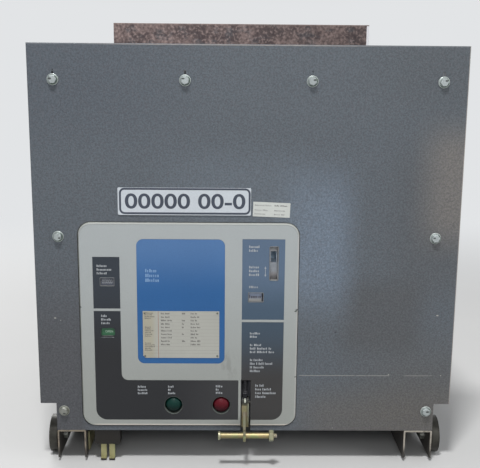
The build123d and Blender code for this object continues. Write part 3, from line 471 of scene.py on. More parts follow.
brown = sheet.mix(flecks.fall(0.34, 0.48) * 0.6, brown, (54, 44, 48))
# Painted light: the sheets are painted lighter towards the left and darker towards the right.
lighter = 1.36 - sheet.x.step(-0.1, 0.2) * 0.45
sheet.paint(
    colour=sheet.mix(sawn * 0.8, sheet.shade(brown, lighter), (196, 186, 176)),
    rough=0.42 + mottle * 0.2,
    gloss=0.3,
    normal=sheet.ripple(weave, 0.00005, sheet.edges(0.0006)[1]),
)
barrier_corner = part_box("front_barrier")[1]
# Painted highlight: a pale line along the top of the front sheet where its edge catches the light, and a
# near-white strip down its right end, partly its pale sawn edge and partly a painted highlight where the end
# catches the light.
top_edge_highlight = sheet.z.between(barrier_corner.z - 0.0022, barrier_corner.z, 0.0005)
sheet.over(top_edge_highlight * front_sheet * 0.45, (150, 132, 126))
sawn_and_lit_end = sheet.x.between(barrier_corner.x - 0.0046, barrier_corner.x)
sheet.over(sawn_and_lit_end * sheet.z.fall(0.7895, 0.7905) * front_sheet, (222, 222, 226))
dress(sheet, "front_barrier", "interphase_barriers", "side_barriers")
bolts(
    "barrier_bolts",
    ((-251.5, -76.2, 94.2, 229.5), (316,), (190, 330, 470, 610), (0, 1, 0), 8),
    ((-235, -90, 75, 220), (300,), (600,), (0, -1, 0), 8),
)

# Underside: the floor interlock's two levers with pale chromated feet and its guide, the silvered ground
# contact, the plastic secondary contact block and the zinc-plated levering bracket.
feet = Finish("interlock_feet")
streaks = feet.noise(90, 4)
# Painted shade: the levers are painted near-black above 30.5 mm, where they run up into the shade under the
# pan, and over their bottom 5.5 mm; only the band between shows pale chromate.
lit_band = feet.z.between(0.0055, 0.0305, 0.0015)
hue = feet.mix(feet.x.step(-0.2398, -0.2392), (156, 152, 110), (148, 154, 112))
pale = feet.shade(hue, 0.84 + streaks * 0.32)
black = feet.shade((38, 33, 31), 0.8 + streaks * 0.4)
feet.paint(
    colour=feet.mix(lit_band, black, pale),
    metal=0.25,
    rough=0.45 + streaks * 0.15,
    normal=feet.ripple(streaks, 0.00005, feet.edges(0.0007)[1]),
)
dress(feet, "interlock_levers")
# Painted shade: the interlock guide is dressed in this near-black to stand for the shade under the pan.
phenolic_and_shade = coated("black_phenolic", (30, 27, 24), (66, 62, 56), drift=0.15, wear=0.3)
dress(phenolic_and_shade, "secondary_contact_block", "interlock_guide")
dress(silver, "ground_contact")
dress(zinc, "levering_bracket")
bolts(
    "underside_bolts",
    ((-275, -195), (410,), (109.5,), (0, 0, 1), 8),
    ((-24, 24), (608,), (50,), (0, 1, 0), 10),
    ((-268.1, -234.7), (17,), (31.6,), (0, 0, -1), 6),
)

# Front panel: 3 mm sheet folded back at its top and sides, in blue-grey enamel with fine orange peel.
# It shows cloudy patches, a long scratch where a truck rubbed it, small chips and worn folds. Over it
# lie painted light and shade: broad patches of sheen, reflection and shade, and pale highlights along
# the top and right folds.
enamel = Finish("panel_enamel")
peel = enamel.noise(620)
fleck = enamel.noise(300, 1).step(0.3, 0.7)
clouds = enamel.noise(3.2, 3)
corner, rounded = enamel.edges(0.0014)
tone = 0.51 + clouds * 0.12 + peel.step(0.34, 0.66) * 0.16 + peel * 0.1 + fleck * 0.2
beyond = 9
grey = (98, 105, 112)
# Painted light: each patch lays sheen, reflection or shade over the grey, lighter, darker, bluish or warm, by
# its share over a field given as low, high and softness across and up.
for share, across, up, lit_tone in (
    (1.0, (-0.4, -0.3, 0.03), (-beyond, 0.2, 0.22), (86, 88, 92)),
    (0.8, (0.3, beyond, 0.2), (-beyond, 0.12, 0.18), (98, 98, 97)),
    (0.5, (0.3, beyond, 0.1), (0.38, 0.52, 0.12), (91, 93, 95)),
    (0.6, (0.2, 0.28, 0.06), (0.24, 0.31, 0.06), (86, 87, 88)),
    (0.85, (0.1, 0.14, 0.07), (0.36, 0.46, 0.12), (122, 136, 152)),
    (0.45, (-0.06, 0.05, 0.14), (0.47, 0.52, 0.08), (114, 124, 134)),
    (0.8, (0.35, beyond, 0.08), (0.46, 0.56, 0.09), (128, 124, 120)),
    (0.5, (-beyond, -0.25, 0.25), (0.66, beyond, 0.14), (88, 95, 104)),
    (0.5, (0.3, beyond, 0.18), (0.7, beyond, 0.14), (87, 92, 96)),
    (0.6, (0.15, beyond, 0.1), (-beyond, 0.09, 0.08), (108, 104, 99)),
):
    grey = enamel.mix(enamel.patch(across, up) * share, grey, lit_tone)
grey = enamel.mix(enamel.noise(230).step(0.45, 0.65) * 0.3, grey, (100, 98, 104))
broken = enamel.noise(70, 4, stretch=(1, 1, 0)).step(0.3, 0.42)
long_scratch = enamel.patch((0.097, 0.256, 0.004), (0.1661, 0.1668, 0.0005))
second_scratch = enamel.patch((0.290, 0.330, 0.01), (0.1661, 0.1670, 0.0005))
scratches = broken * (long_scratch * 0.4 + second_scratch * 0.25)
enamel.paint(
    colour=enamel.mix(scratches, enamel.shade(grey, tone), (186, 184, 176)),
    rough=0.44 + clouds * 0.1,
    gloss=0.3,
    normal=enamel.ripple(peel + fleck, 0.00005, rounded),
)
pale_chips = [(256.5, 168.6, 1.8), (350.7, 166.8, 1.6), (338.5, 279.5, 2.6)]
pale_chips += [(158.5, 65.5, 1.5), (-337.5, 272.2, 2.6), (-328, 268, 1.4)]
enamel.over(enamel.spots(pale_chips) * 0.6, (186, 184, 176))
enamel.over(enamel.spots([(158.5, 247.8, 2.4)]) * 0.7, (48, 50, 54))
fold = corner * enamel.noise(40, 3).step(0.3, 0.55) * enamel.z.step(0.12, 0.15)
enamel.over(fold * 0.5, (170, 164, 156))
panel_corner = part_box("front_panel")[1]
# Painted highlight: pale lines along the top and right folds where they catch the light. The top one is
# broken up where the paint is worn and is brightest over the middle.
rubbed = enamel.noise(55, 5, stretch=(1, 1, 0)).step(0.3, 0.6)
top_fold_highlight = enamel.z.between(panel_corner.z - 0.0021, panel_corner.z - 0.0009) * (0.35 + rubbed * 0.65)
enamel.over(top_fold_highlight * (0.06 + enamel.x.between(-0.15, 0.1, 0.15) * 0.42), (158, 148, 138))
right_fold_highlight = enamel.x.between(panel_corner.x - 0.0016, panel_corner.x - 0.0004)
enamel.over(right_fold_highlight * 0.6, (170, 164, 158))
dress(enamel, "front_panel")

# Panel bolts: zinc-plated bolts with hexagon heads over wide washers, eight of them. The
# four at the top sit in upright slots, and each has a nut behind the truck's flange.
def slab(shape, outline, near, far):
    """Add a flat plate with this outline of (x, z) points, between two depths."""
    skin(shape, [[at(x, depth, z) for x, z in outline] for depth in (near, far)])


def block(shape, low, high):
    """Add a box between two corners, given as x, depth and z in millimetres."""
    (left, near, foot), (right, far, top) = low, high
    slab(shape, [(left, foot), (right, foot), (right, top), (left, top)], near, far)


plated = coated(
    "bolt_plate", (168, 175, 175), (222, 226, 224),
    rough=0.36, metal=0.6, drift=0.4, speck=(420, 0.2), wear=0.45,
)
on_washer = plated.y.step(front_y - 0.0035, front_y - 0.003)
plated.over(on_washer * 0.3, (132, 142, 136))
side_sign = plated.x.step(-0.001, 0.001) * 2 - 1
inner, outer = 106.6, 327.2
lowest, middle, highest = 98.4, 419.3, 686.4
bolt_x = side_sign * (inner / 1000 + abs(plated.x).step(0.2, 0.21) * ((outer - inner) / 1000))
bolt_z = lowest / 1000 + plated.z.step(0.25, 0.26) * ((middle - lowest) / 1000)
bolt_z = bolt_z + plated.z.step(0.55, 0.56) * ((highest - middle) / 1000)
gap_x, gap_z = plated.x - bolt_x, plated.z - bolt_z
from_bolt = gap_x.hypot(gap_z)
# Painted shadow: a dark ring round each head, a little dirt all round and mostly the head's shadow cast to
# the lower right.
dirt_and_shadow_ring = from_bolt.between(0.0066, 0.0086, 0.0005) * (0.25 + (gap_x - gap_z).step(-0.005, 0.005) * 0.65)
plated.over(dirt_and_shadow_ring * on_washer, (74, 88, 80))
plated.over(from_bolt.step(0.0089, 0.0093) * on_washer * 0.5, (214, 220, 216))
# Painted shade: the bolt at the lower left is darker.
low_left_shade = plated.x.fall(-0.2, -0.1) * plated.z.fall(0.2, 0.3)
plated.over(low_left_shade * 0.6, (116, 112, 98))
head_marks = [(-331.2, 687.8, 4), (-109.6, 689.4, 3.2), (110.2, 688.6, 3.4)]
head_marks += [(330.4, 689, 3.4), (-324, 417.6, 3), (324.4, 420.8, 3)]
head_marks += [(-326.2, 95, 3.4), (329, 99.6, 3.8)]
plated.over(plated.spots(head_marks) * (1 - on_washer) * 0.85, (56, 58, 56))
bolt_spots = [(x, highest) for x in (-outer, -inner, inner, outer)]
bolt_spots += itertools.product((-outer, outer), (middle, lowest))
washer_section = [(3.5, 0), (9.4, 0), (9.75, 0.5), (9.5, 1.3), (9, 1.6), (3.5, 1.6)]
head_section = [(0, 1), (7.4, 1), (7.4, 5.4), (6.5, 6.5), (0, 6.6)]
nut_section = [(0, -6), (6.3, -6), (6.3, -10.4), (5.5, -11), (3.2, -11), (2.8, -12.6), (0, -12.6)]
shape = bmesh.new()
for i, (x, z) in enumerate(bolt_spots):
    place = facing(at(x, 0, z), (0, -1, 0)) @ Matrix.Rotation(0.37 * i, 4, "Z")
    turned(shape, washer_section, place, 40, closed=True)
    turned(shape, head_section, place, 6)
    turned(shape, nut_section, place, 6)
panel_fastenings = piece("panel_fastenings", shape, plated)
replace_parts(panel_fastenings, "panel_bolts")
shape = bmesh.new()
for x, low in ((-outer, 700.2), (-inner, 701.2), (inner, 694), (outer, 694)):
    block(shape, (x - 1.52, 0.35, low), (x + 1.52, 2.6, 702.95))
piece("slit_backing", shape, enamel)

# Control bezel: a moulded plate of warm grey plastic with a bevelled rim, clipped into the panel. The
# rim is nicked, and hands have left smudges by the nameplate and the latch. Light and shade are
# painted on it: the moulding is lighter towards the top, its bevels are lit and shaded copies, its
# bottom rim carries a painted highlight, and the walls of its openings and a line inside the top rim
# are painted shade.
bezel = Finish("bezel_moulding")
texture = bezel.noise(700)
clouds = bezel.noise(5, 3)
rim_inset = bezel.inset(-0.2935, 0.0905, 0.07, 0.4445, 0.023)
bevel = rim_inset.fall(0.002, 0.0024)
# Painted light: the bevel is painted as lit and shaded copies of the moulding, light on most of the rim,
# darker where it faces up and darker still along the left edge.
lit_from_above = bezel.faces()[2].step(-0.1, 0.3)
side_lit_colour = bezel.mix(bezel.x.step(-0.285, -0.27), (140, 143, 136), (204, 204, 200))
lit_bevel_colour = bezel.mix(lit_from_above, side_lit_colour, (160, 162, 156))
# Painted highlight: the rim along the bottom is painted lighter.
low_rim_highlight = bezel.z.fall(0.0733, 0.0748) * bezel.x.step(-0.28, -0.26)
# Painted shade: a dark line inside the top rim, and dark walls round the openings except the upward sill of
# the charging slot.
crease_shade = rim_inset.between(0.0028, 0.0036, 0.0005) * bezel.z.step(0.415, 0.44)
opening_wall_shade = bezel.faces()[1].step(-0.9, -0.7) * (1 - bevel)
smudge = bezel.patch((-0.045, -0.025, 0.015), (0.172, 0.2, 0.02))
smudge = smudge * bezel.noise(60, 4, stretch=(1.6, 1, 0.7)).step(0.45, 0.62)
# Painted light: the moulding is lighter towards the top.
grey = bezel.mix(bezel.z.step(0.1, 0.43), (150, 153, 149), (164, 169, 170))
grey = bezel.shade(grey, 0.9 + clouds * 0.08 + texture * 0.12)
bezel.paint(
    colour=bezel.mix(bevel * 0.85, grey, lit_bevel_colour),
    rough=0.5 + clouds * 0.08,
    gloss=0.3,
    normal=bezel.ripple(texture, 0.00002, bezel.edges(0.001)[1]),
)
bezel.over(low_rim_highlight * 0.85, (202, 196, 187))
bezel.over(crease_shade * 0.3, (96, 98, 94))
charge_slot = bezel.patch((0.037, 0.057, 0.001), (0.34, 0.407, 0.001)) * bezel.faces()[2].fall(0.3, 0.6)
bezel.over(opening_wall_shade * (1 - charge_slot) * 0.7, (90, 87, 86))
bezel.over(smudge * 0.3, (108, 108, 104))
nicks = [(88.8, 289.3, 3.4), (86.6, 286.8, 2.6), (88.3, 164.5, 2.2), (-292, 293, 2.6)]
bezel.over(bezel.spots(nicks) * 0.9, (52, 58, 54))
dress(bezel, "control_bezel")

# Legend panels: dark printed film let into the bezel, charcoal all over. The rest of its colour is
# painted reflection: the upper right one is painted slate blue, the lower right one fades from slate
# down to charcoal, and on the left the charcoal lightens towards the right and turns bluish at the top.
film = Finish("legend_film")
dots = film.noise(500)
clouds = film.noise(9, 3)
right_side = film.x.step(-0.0112, -0.0108)
upper = film.z.step(0.2685, 0.2695)
reflection_fade = film.z.step(0.155, 0.262)
# Painted reflection: bluish on the right panels, fading down to charcoal; on the left, lighter to the right
# and bluish at the top.
upper_blue = film.mix(film.z.step(0.28, 0.36), (68, 86, 104), (88, 106, 128))
slate = film.mix(upper, film.mix(reflection_fade, (58, 57, 57), (64, 78, 92)), upper_blue)
charcoal = film.mix(film.x.step(-0.15, -0.02), (38, 39, 42), (55, 55, 57))
charcoal = film.mix(film.z.step(0.2, 0.35), charcoal, (49, 55, 63))
film.paint(
    colour=film.shade(film.mix(right_side, charcoal, slate), 0.78 + dots * 0.3 + clouds * 0.1),
    rough=0.36 + clouds * 0.14,
    gloss=0.3,
    normal=film.ripple(dots, 0.00001, film.edges(0.0003)[1]),
)
dress(film, "legend_panels")

# Printing on the legends: white screen-printed rows beside each window, button and slot, and a double
# arrow at the charging slot. The rows are unreadable blocks, one for each letter.
legend_depth = -2.3


def printing_ink(name, colour, rough=0.6, **looks):
    return coated(name, colour, colour, rough, speck=(800, 0.2), wear=0.0, **looks)


def printed_rows(shape, left, top, rows, letter, line, depth, seed, height=0.62):
    """Add rows of letter-sized blocks. rows gives the letters of each word, row by row."""
    draw = random.Random(seed)
    for r, words in enumerate(rows):
        x = left
        foot = top - line * (r + height)
        for letters in words:
            for i in range(letters):
                tall = i == 0 or draw.random() < 0.3
                rise_mm = line * height * (1.0 if tall else 0.72)
                wide = letter * draw.uniform(0.5, 0.78)
                block(shape, (x, depth - 0.07, foot), (x + wide, depth + 0.03, foot + rise_mm))
                x += letter
            x += letter * 0.8


legends = (
    (-261.9, 369.9, [(7,), (10,), (7,)], 2.6, 6.6),
    (-256.2, 279.3, [(4,), (7,), (6,)], 2.6, 6.6),
    (-193.8, 147.2, [(6,), (7,), (7,)], 2.5, 6.2),
    (-139.5, 147.4, [(4,), (2,), (5,)], 2.7, 6.2),
    (-53.9, 148.2, [(4,), (2,), (4,)], 3.1, 6.2),
    (3.3, 405.3, [(7,), (6,)], 2.7, 6.8),
    (3.7, 369, [(6,), (6,), (6,)], 3, 6.9),
    (4.1, 333, [(6,)], 2.7, 6.6),
    (6.3, 247.9, [(7,), (5,)], 2.7, 6.2),
    (6.6, 226.3, [(2, 5), (4, 7, 2), (4, 7, 4)], 2.65, 6.5),
    (6.9, 198.5, [(2, 7), (4, 1, 4, 6), (2, 8), (8,)], 2.35, 6.9),
    (17, 150.2, [(2, 3), (4, 6), (4, 9), (7,)], 2.7, 7.1),
)
ink = printing_ink("white_ink", (168, 172, 176), drift=0.1)
shape = bmesh.new()
for seed, (left, top, rows, letter, line) in enumerate(legends):
    printed_rows(shape, left, top, rows, letter, line, legend_depth, seed)
arrow = [(32.15, 349.4), (33.9, 353.4), (32.6, 353.4), (32.6, 364.1), (33.9, 364.1), (32.15, 368.1)]
arrow += [(30.4, 364.1), (31.7, 364.1), (31.7, 353.4), (30.4, 353.4)]
slab(shape, arrow, legend_depth - 0.07, legend_depth + 0.03)
piece("legend_printing", shape, ink)

# Nameplate and rating plate: blue printed aluminium glued in the bezel, left bare but for a few pale
# rows, and on it a riveted white plate ruled and printed in black with one brown line.
blue = Finish("nameplate_blue")
dots = blue.noise(800)
clouds = blue.noise(8, 3)
lift = blue.z.step(0.31, 0.415)
blue_base = blue.mix(lift, (42, 92, 146), (80, 116, 162))
blue.paint(
    colour=blue.shade(blue_base, 0.8 + dots * 0.24 + clouds * 0.12),
    gloss=0.3,
    rough=0.34 + clouds * 0.12,
    normal=blue.ripple(dots, 0.00001, blue.edges(0.0003)[1]),
)
dress(blue, "nameplate")
pale_ink = printing_ink("pale_blue_ink", (122, 154, 192), rough=0.5)
shape = bmesh.new()
printed_rows(shape, -177.6, 362.6, [(6,), (7,), (7,)], 3.5, 8.6, legend_depth, 40, height=0.7)
piece("nameplate_printing", shape, pale_ink)

plate = Finish("rating_plate_white")
stains = plate.noise(30, 4)
brown_line = plate.x.between(-0.1561, -0.1554, 0.0003)
ruled = 0
for rule_z in (0.2087, 0.2139, 0.2213):
    ruled = ruled + plate.z.between(rule_z, rule_z + 0.0002, 0.0004) * 0.35
row_pitch = 0.00635
row_place = ((plate.z - 0.2207) * (1 / row_pitch)).fraction()
ruled_rows = row_place.between(0.0, 0.08, 0.04) * plate.x.step(-0.1542, -0.1538)
ruled = ruled + ruled_rows * plate.z.step(0.2215, 0.2225) * 0.22
cream = plate.mix(plate.x.step(-0.1554, -0.17), (170, 170, 163), (166, 162, 146))
plate_base = plate.mix(ruled, plate.shade(cream, 0.9 + stains * 0.16), (120, 112, 104))
plate.paint(
    colour=plate.mix(brown_line * 0.8, plate_base, (142, 98, 82)),
    gloss=0.3,
    rough=0.42 + stains * 0.12,
    normal=plate.ripple(stains, 0.00002, plate.edges(0.0002)[1]),
)
dress(plate, "rating_plate")
black_ink = printing_ink("black_ink", (112, 110, 108))
plate_depth = -2.9
draw = random.Random(7)
shape = bmesh.new()
for left, top, count in ((-179.5, 284, 4), (-179.5, 258, 6), (-179.5, 228.5, 5)):
    rows = [(draw.randint(5, 8),) for _ in range(count)]
    printed_rows(shape, left, top, rows, 2.2, 3.3, plate_depth, 50 + count, height=0.58)
for r in range(10):
    top = 283.5 - row_pitch * 1000 * r
    columns = [(-151, 60, (draw.randint(3, 5), draw.randint(2, 4)))]
    if r % 2 == 0 or r == 3:
        columns.append((-114, 70, (draw.randint(2, 3),)))
    columns.append((-98.5, 80, (draw.randint(3, 5), draw.randint(2, 3))))
    for left, seed, words in columns:
        printed_rows(shape, left, top, [words], 2, 4.6, plate_depth, seed + r, height=0.6)
piece("rating_plate_printing", shape, black_ink)
shape = bmesh.new()
for x, z in itertools.product((-179.6, -51.4), (203.6, 282.8)):
    rivet = [(0, -0.2), (1.9, -0.2), (1.8, 0.3), (1.2, 0.8), (0, 0.95)]
    turned(shape, rivet, facing(at(x, plate_depth, z), (0, -1, 0)), 16)
rivet_grey = coated("rivet_grey", (104, 106, 100), (150, 150, 144), rough=0.45, metal=0.3, wear=0.3)
piece("rating_plate_rivets", shape, rivet_grey)

# Windows: a counter with white figures on black drums, a green flag with its word, and a pale spring
# flag with a dark bar. Thin lips are moulded round the openings.
counter_black = coated("counter_black", (86, 90, 101), (120, 120, 122), rough=0.35, drift=0.2, wear=0.4)
dress(counter_black, "operations_counter")
green_flag = coated("green_flag", (54, 100, 72), (80, 136, 98), rough=0.45, drift=0.2, wear=0.3)
dress(green_flag, "contact_status_flag")
flag = Finish("spring_flag")
marks = flag.noise(160, 3)
flag_base = flag.mix(flag.z.step(0.306, 0.314), (140, 140, 138), (132, 142, 162))
flag.paint(
    colour=flag.shade(flag_base, 0.85 + marks * 0.3),
    rough=0.45 + marks * 0.1,
    gloss=0.3,
    normal=flag.ripple(marks, 0.00002),
)
flag.over(flag.x.step(0.0258, 0.0266), (40, 42, 50))
dress(flag, "spring_status_flag")


def figures(shape, text, left, bottom, width, height, depth, bold=0.0):
    """Add raised figures of the built-in type, fitted into a box on the front at this depth."""
    curve = bpy.data.curves.new("figures", "FONT")
    curve.body = text
    curve.offset = bold
    holder = placed("figures", curve)
    flat = bpy.data.meshes.new_from_object(holder.evaluated_get(bpy.context.evaluated_depsgraph_get()))
    bpy.data.objects.remove(holder)
    xs = [v.co.x for v in flat.vertices]
    ys = [v.co.y for v in flat.vertices]
    for v in flat.vertices:
        x = left + (v.co.x - min(xs)) / (max(xs) - min(xs)) * width
        z = bottom + (v.co.y - min(ys)) / (max(ys) - min(ys)) * height
        v.co = at(x, depth, z)
    glyphs = bmesh.new()
    glyphs.from_mesh(flat)
    bmesh.ops.remove_doubles(glyphs, verts=glyphs.verts, dist=1e-6)
    for v in bmesh.ops.extrude_face_region(glyphs, geom=glyphs.faces[:])["geom"]:
        if isinstance(v, bmesh.types.BMVert):
            v.co.y -= 0.00008
    glyphs.to_mesh(flat)
    glyphs.free()
    shape.from_mesh(flat)
    bpy.data.meshes.remove(flat)


flag_depth = 0.47
shape = bmesh.new()
figures(shape, "00000", -253.4, 335.6, 18.2, 7, flag_depth)
piece("window_figures", shape, ink)
flag_white = printing_ink("flag_white", (176, 208, 184))
shape = bmesh.new()
figures(shape, "OPEN", -249.6, 245.9, 13.4, 4.2, flag_depth, bold=0.02)
piece("contact_flag_word", shape, flag_white)
flag_ink = printing_ink("flag_ink", (74, 72, 78))
shape = bmesh.new()
printed_rows(shape, 4.4, 315.4, [(7,)], 3, 6.6, flag_depth + 0.01, 100, height=0.85)
piece("spring_flag_printing", shape, flag_ink)


def round_box(left, bottom, right, top, radius, steps=5):
    """The (x, z) outline of a rectangle with round corners."""
    points = []
    for corner, k in itertools.product(range(4), range(steps + 1)):
        turn = math.radians(90 * (corner - 1 + k / steps))
        x = right - radius if corner < 2 else left + radius
        z = top - radius if corner in (1, 2) else bottom + radius
        points.append((x + radius * math.cos(turn), z + radius * math.sin(turn)))
    return points


def rim(shape, opening, width, radius, near, far):
    """Add a flat ring this wide round a (left, bottom, right, top) opening, between two depths."""
    left, bottom, right, top = opening
    inner = round_box(left, bottom, right, top, radius)
    outer = round_box(left - width, bottom - width, right + width, top + width, radius + width)
    lines = ((inner, far), (inner, near), (outer, near), (outer, far))
    skin(shape, [[at(x, depth, z) for x, z in line] for line, depth in lines], closed=True)


lip_film = coated("window_lips", (116, 119, 122), (150, 152, 150), rough=0.4, wear=0.5)
lip_front, lip_back = legend_depth - 0.35, legend_depth + 0.03
shape = bmesh.new()
for x, z, width, height in ((-244.3, 339, 23.5, 14), (15.9, 312, 25.7, 16)):
    opening = (x - width / 2, z - height / 2, x + width / 2, z + height / 2)
    rim(shape, opening, 0.9, 0.3, lip_front, lip_back)
rim(shape, (39.7, 343.3, 54.3, 403.3), 1, 2, lip_front, lip_back)
block(shape, (-257.4, lip_front, 237.4), (-234, lip_back, 238))
piece("window_lips", shape, lip_film)
shape = bmesh.new()
rim(shape, (-257, 240.2, -232.2, 254.8), 2.2, 4.6, lip_front + 0.05, lip_back)
piece("contact_window_mask", shape, film)

# Push buttons: dark green to close and deep red to open, gloss domed mouldings painted darker towards
# their lower edge as painted shade. Each slides in a pale grey sleeve, painted darker as painted shade,
# with a thin black ring round its mouth whose lower part carries a painted highlight.
cap_section = [(0, -13), (14.5, -13), (14.9, -12.6), (14.9, -8)]
for i in range(1, 13):
    rise_turn = math.radians(7.5 * i)
    cap_section.append((14.9 * math.cos(rise_turn) if i < 12 else 0, -8 + 11.5 * math.sin(rise_turn)))
sleeve_section = [(16, -11), (16, -0.2), (16.2, 0.15), (16.45, 0.15), (16.45, -11)]
guard_section = [(16.5, -0.03), (17.5, -0.03), (17.3, 0.35), (16.9, 0.45), (16.5, 0.2)]
sleeves, guards = bmesh.new(), bmesh.new()
for node, x, name, slot, colour, worn, low_shade in (
    ("close_button", -130, "green_button", "button_green", (6, 46, 40), (26, 64, 56), (3, 12, 14)),
    ("open_button", -44, "red_button", "button_red", (84, 15, 26), (104, 32, 44), (34, 6, 18)),
):
    button = coated(name, colour, worn, rough=0.45, drift=0.3, speck=(300, 0.1), wear=0.1)
    # Painted shade: each dome darkens towards its lower edge.
    button.over(button.z.fall(0.094, 0.116) * 0.9, low_shade).paint(gloss=0.18)
    place = facing(at(x, legend_depth, 110), (0, -1, 0))
    shape = bmesh.new()
    turned(shape, cap_section, place, 48)
    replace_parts(piece(f"{node}_cap", shape, button, body=node, smooth=40), node)
    turned(sleeves, sleeve_section, place, 48, closed=True)
    turned(guards, guard_section, place, 48, closed=True)
# Painted shade: the sleeve's pale grey is painted darker.
sleeve_shaded_grey = coated("sleeve_shaded_grey", (92, 98, 94), (116, 120, 116), wear=0.2)
guard = coated("button_guard", (54, 56, 56), (84, 86, 84), wear=0.3)
# Painted highlight: the lower part of each ring is lighter.
guard.over(guard.z.fall(0.093, 0.1) * 0.5, (84, 88, 84))
piece("button_sleeves", sleeves, sleeve_shaded_grey)
piece("button_guards", guards, guard)

# Charging lever: a steel sector behind its slot, painted pale and rubbed by the handle, with the square
# socket that takes it. Inside the socket it is bluish. It rocks on the pin at its hub.
lever = coated("lever_paint", (208, 214, 222), (190, 160, 150), rough=0.6, drift=0.1, wear=0.5)
in_socket = lever.patch((0.0424, 0.0516, 0.0003), (0.3718, 0.3912, 0.0004))
lever.over(in_socket * lever.y.step(front_y + 0.0147, front_y + 0.0151), (204, 222, 236))
# Painted light: the sector is painted near-white at its top and bottom, where the slot's lips shade it and
# the arc turns away from the light.
lever.over(lever.z.step(0.388, 0.396), (252, 252, 255))
lever.over(lever.z.fall(0.347, 0.358), (240, 236, 238))
dress(lever, "charge_lever")
shape = bmesh.new()
for low, high in ((35.5, 39.9), (54.1, 58.5)):
    block(shape, (low, 9.2, 335), (high, 10.8, 412))
piece("charge_slot_cheeks", shape, lever)

# Latch and handle: a folded channel on its pin with a welded stem, a tube through it and a long bolt
# with a nut, all in yellow chromate that shines green and pink. A dark spring sits above in the slot.
# The interlock's bracket is chromated too.
def chromated(name, tone, metal, rough=0.26):
    """Yellow chromate whose hue drifts from green through straw to pink, streaked, at this tone."""
    finish = Finish(name)
    streaks = finish.noise(150, 3, stretch=(0.3, 1, 1))
    corner, rounded = finish.edges(0.0006)
    green, straw, amber, pink = (172, 196, 120), (206, 196, 128), (206, 182, 120), (204, 172, 140)
    stops = [(0.34, tint(*green)), (0.46, tint(*straw)), (0.58, tint(*amber)), (0.7, tint(*pink))]
    hue = finish.node("ValToRGB", {"stops": stops}, {0: finish.noise(70, 3)})
    shaded = finish.shade(hue, tone * (0.75 + streaks * 0.5))
    return finish.paint(
        colour=finish.mix(corner * 0.3, shaded, finish.shade((224, 220, 188), tone)),
        metal=metal,
        rough=rough + streaks * 0.14,
        normal=finish.ripple(streaks, 0.00003, rounded),
    )


chromate = chromated("yellow_chromate", 0.51, 0.6, rough=0.32)
# Painted shade: the tube is darker towards its left end.
chromate.over(chromate.x.fall(-0.012, 0.004) * 0.28, (84, 78, 52))
chromate.over(0.2, (150, 148, 132))
# Painted shade: the underside of the tube, below about 60 mm, is darker.
chromate.over(chromate.z.fall(0.0585, 0.0625) * 0.55, (74, 66, 40))
dress(chromate, "handle_tube")
faded = chromated("faded_chromate", 0.48, 0.2, rough=0.5)
faded.over(0.45, (122, 122, 108))
# Painted shade: faces that look up are darkened.
faded.over(faded.faces()[2].step(0.1, 0.5) * 0.75, (64, 60, 44))
# Painted light on the front of the web: a dark line stands for the shade of a gap between two flanges, a pale
# line beside it is a painted highlight on a flange edge, and the top is painted dark as shade.
web_face = faded.y.between(front_y + 0.0015, front_y + 0.0026) * faded.z.step(0.06, 0.064)
groove_shade = faded.x.between(0.0023, 0.0036, 0.0004)
edge_highlight = faded.x.between(0.0041, 0.0056, 0.0003) * faded.z.step(0.072, 0.078)
shaded_top = faded.z.step(0.1065, 0.1085) * faded.x.fall(0.0036, 0.0041)
faded.over(web_face * edge_highlight * 0.6, (176, 182, 160))
faded.over(web_face * groove_shade * 0.75, (52, 50, 40))
faded.over(shaded_top * 0.8, (52, 56, 46))
# Painted shade: everything above about 111 mm is darkened.
faded.over(faded.z.step(0.1100, 0.1130) * 0.85, (40, 42, 40))
dress(faded, "latch_lever", "interlock_bracket")
paler = chromated("pale_chromate", 0.62, 0.6)
paler.over(0.6, (152, 156, 143))
handle_axis = facing(at(0, -25, 62), (1, 0, 0))
nut_near, nut_far = 41.4, 50.2
nut_wide = 17.5 / math.sqrt(3)
nut_worn = nut_wide * 0.87
shank = 4.1
head_end = [(0, -49.4), (6.6, -49.4), (7.5, -48.7), (7.7, -47.6), (7.7, -45.6), (7.3, -44.9), (shank, -44.9)]
nut_face = [(nut_worn, nut_near), (nut_wide, 42.3), (nut_wide, 49.3), (nut_worn, nut_far)]
thread = [(0, 49)]
for i in range(5):
    thread += [(shank, 49.6 + 1.2 * i), (3.6, 50.2 + 1.2 * i)]
shape = bmesh.new()
turned(shape, head_end + [(shank, nut_near), (shank, 50), (0, 50)], handle_axis, 32)
nut_place = handle_axis @ Matrix.Rotation(0.3, 4, "Z")
turned(shape, [(4, nut_near)] + nut_face + [(4, nut_far)], nut_place, 6, closed=True)
turned(shape, thread + [(3.4, 55.9), (0, 55.9)], handle_axis, 32)
handle_bolt = piece("handle_through_bolt", shape, paler, body="latch_handle")
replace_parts(handle_bolt, "handle_bolt")

dark_wire = coated("dark_spring_wire", (84, 84, 88), (104, 102, 100), metal=0.2, wear=0.2)
pin_steel = coated("pin_steel", (62, 60, 58), (100, 98, 94), metal=0.3, wear=0.2)
dress(pin_steel, "mechanism_pins")
turn_steps = 16
coil_steps = 11 * turn_steps
shape = bmesh.new()
path = []
for i in range(coil_steps + 1):
    turn = math.tau * i / turn_steps
    out = Vector((math.cos(turn), math.sin(turn), 0))
    rise = i / coil_steps
    path.append((at(-0.75, 9.5 + 10.5 * rise, 127.8 + 28.2 * rise) + out * 0.005, out))
wound(shape, path, 0.75, sides=8)
block(shape, (-25, 15.5, 156.6), (25, 24.5, 158.6))
piece("latch_spring", shape, dark_wire, smooth=50)
well_paint = coated("latch_well_paint", (128, 128, 136), (140, 140, 144), rough=0.6, wear=0.2)
shape = bmesh.new()
block(shape, (-24.5, 30.2, 98), (24.5, 31.4, 161))
piece("latch_well_plate", shape, well_paint)
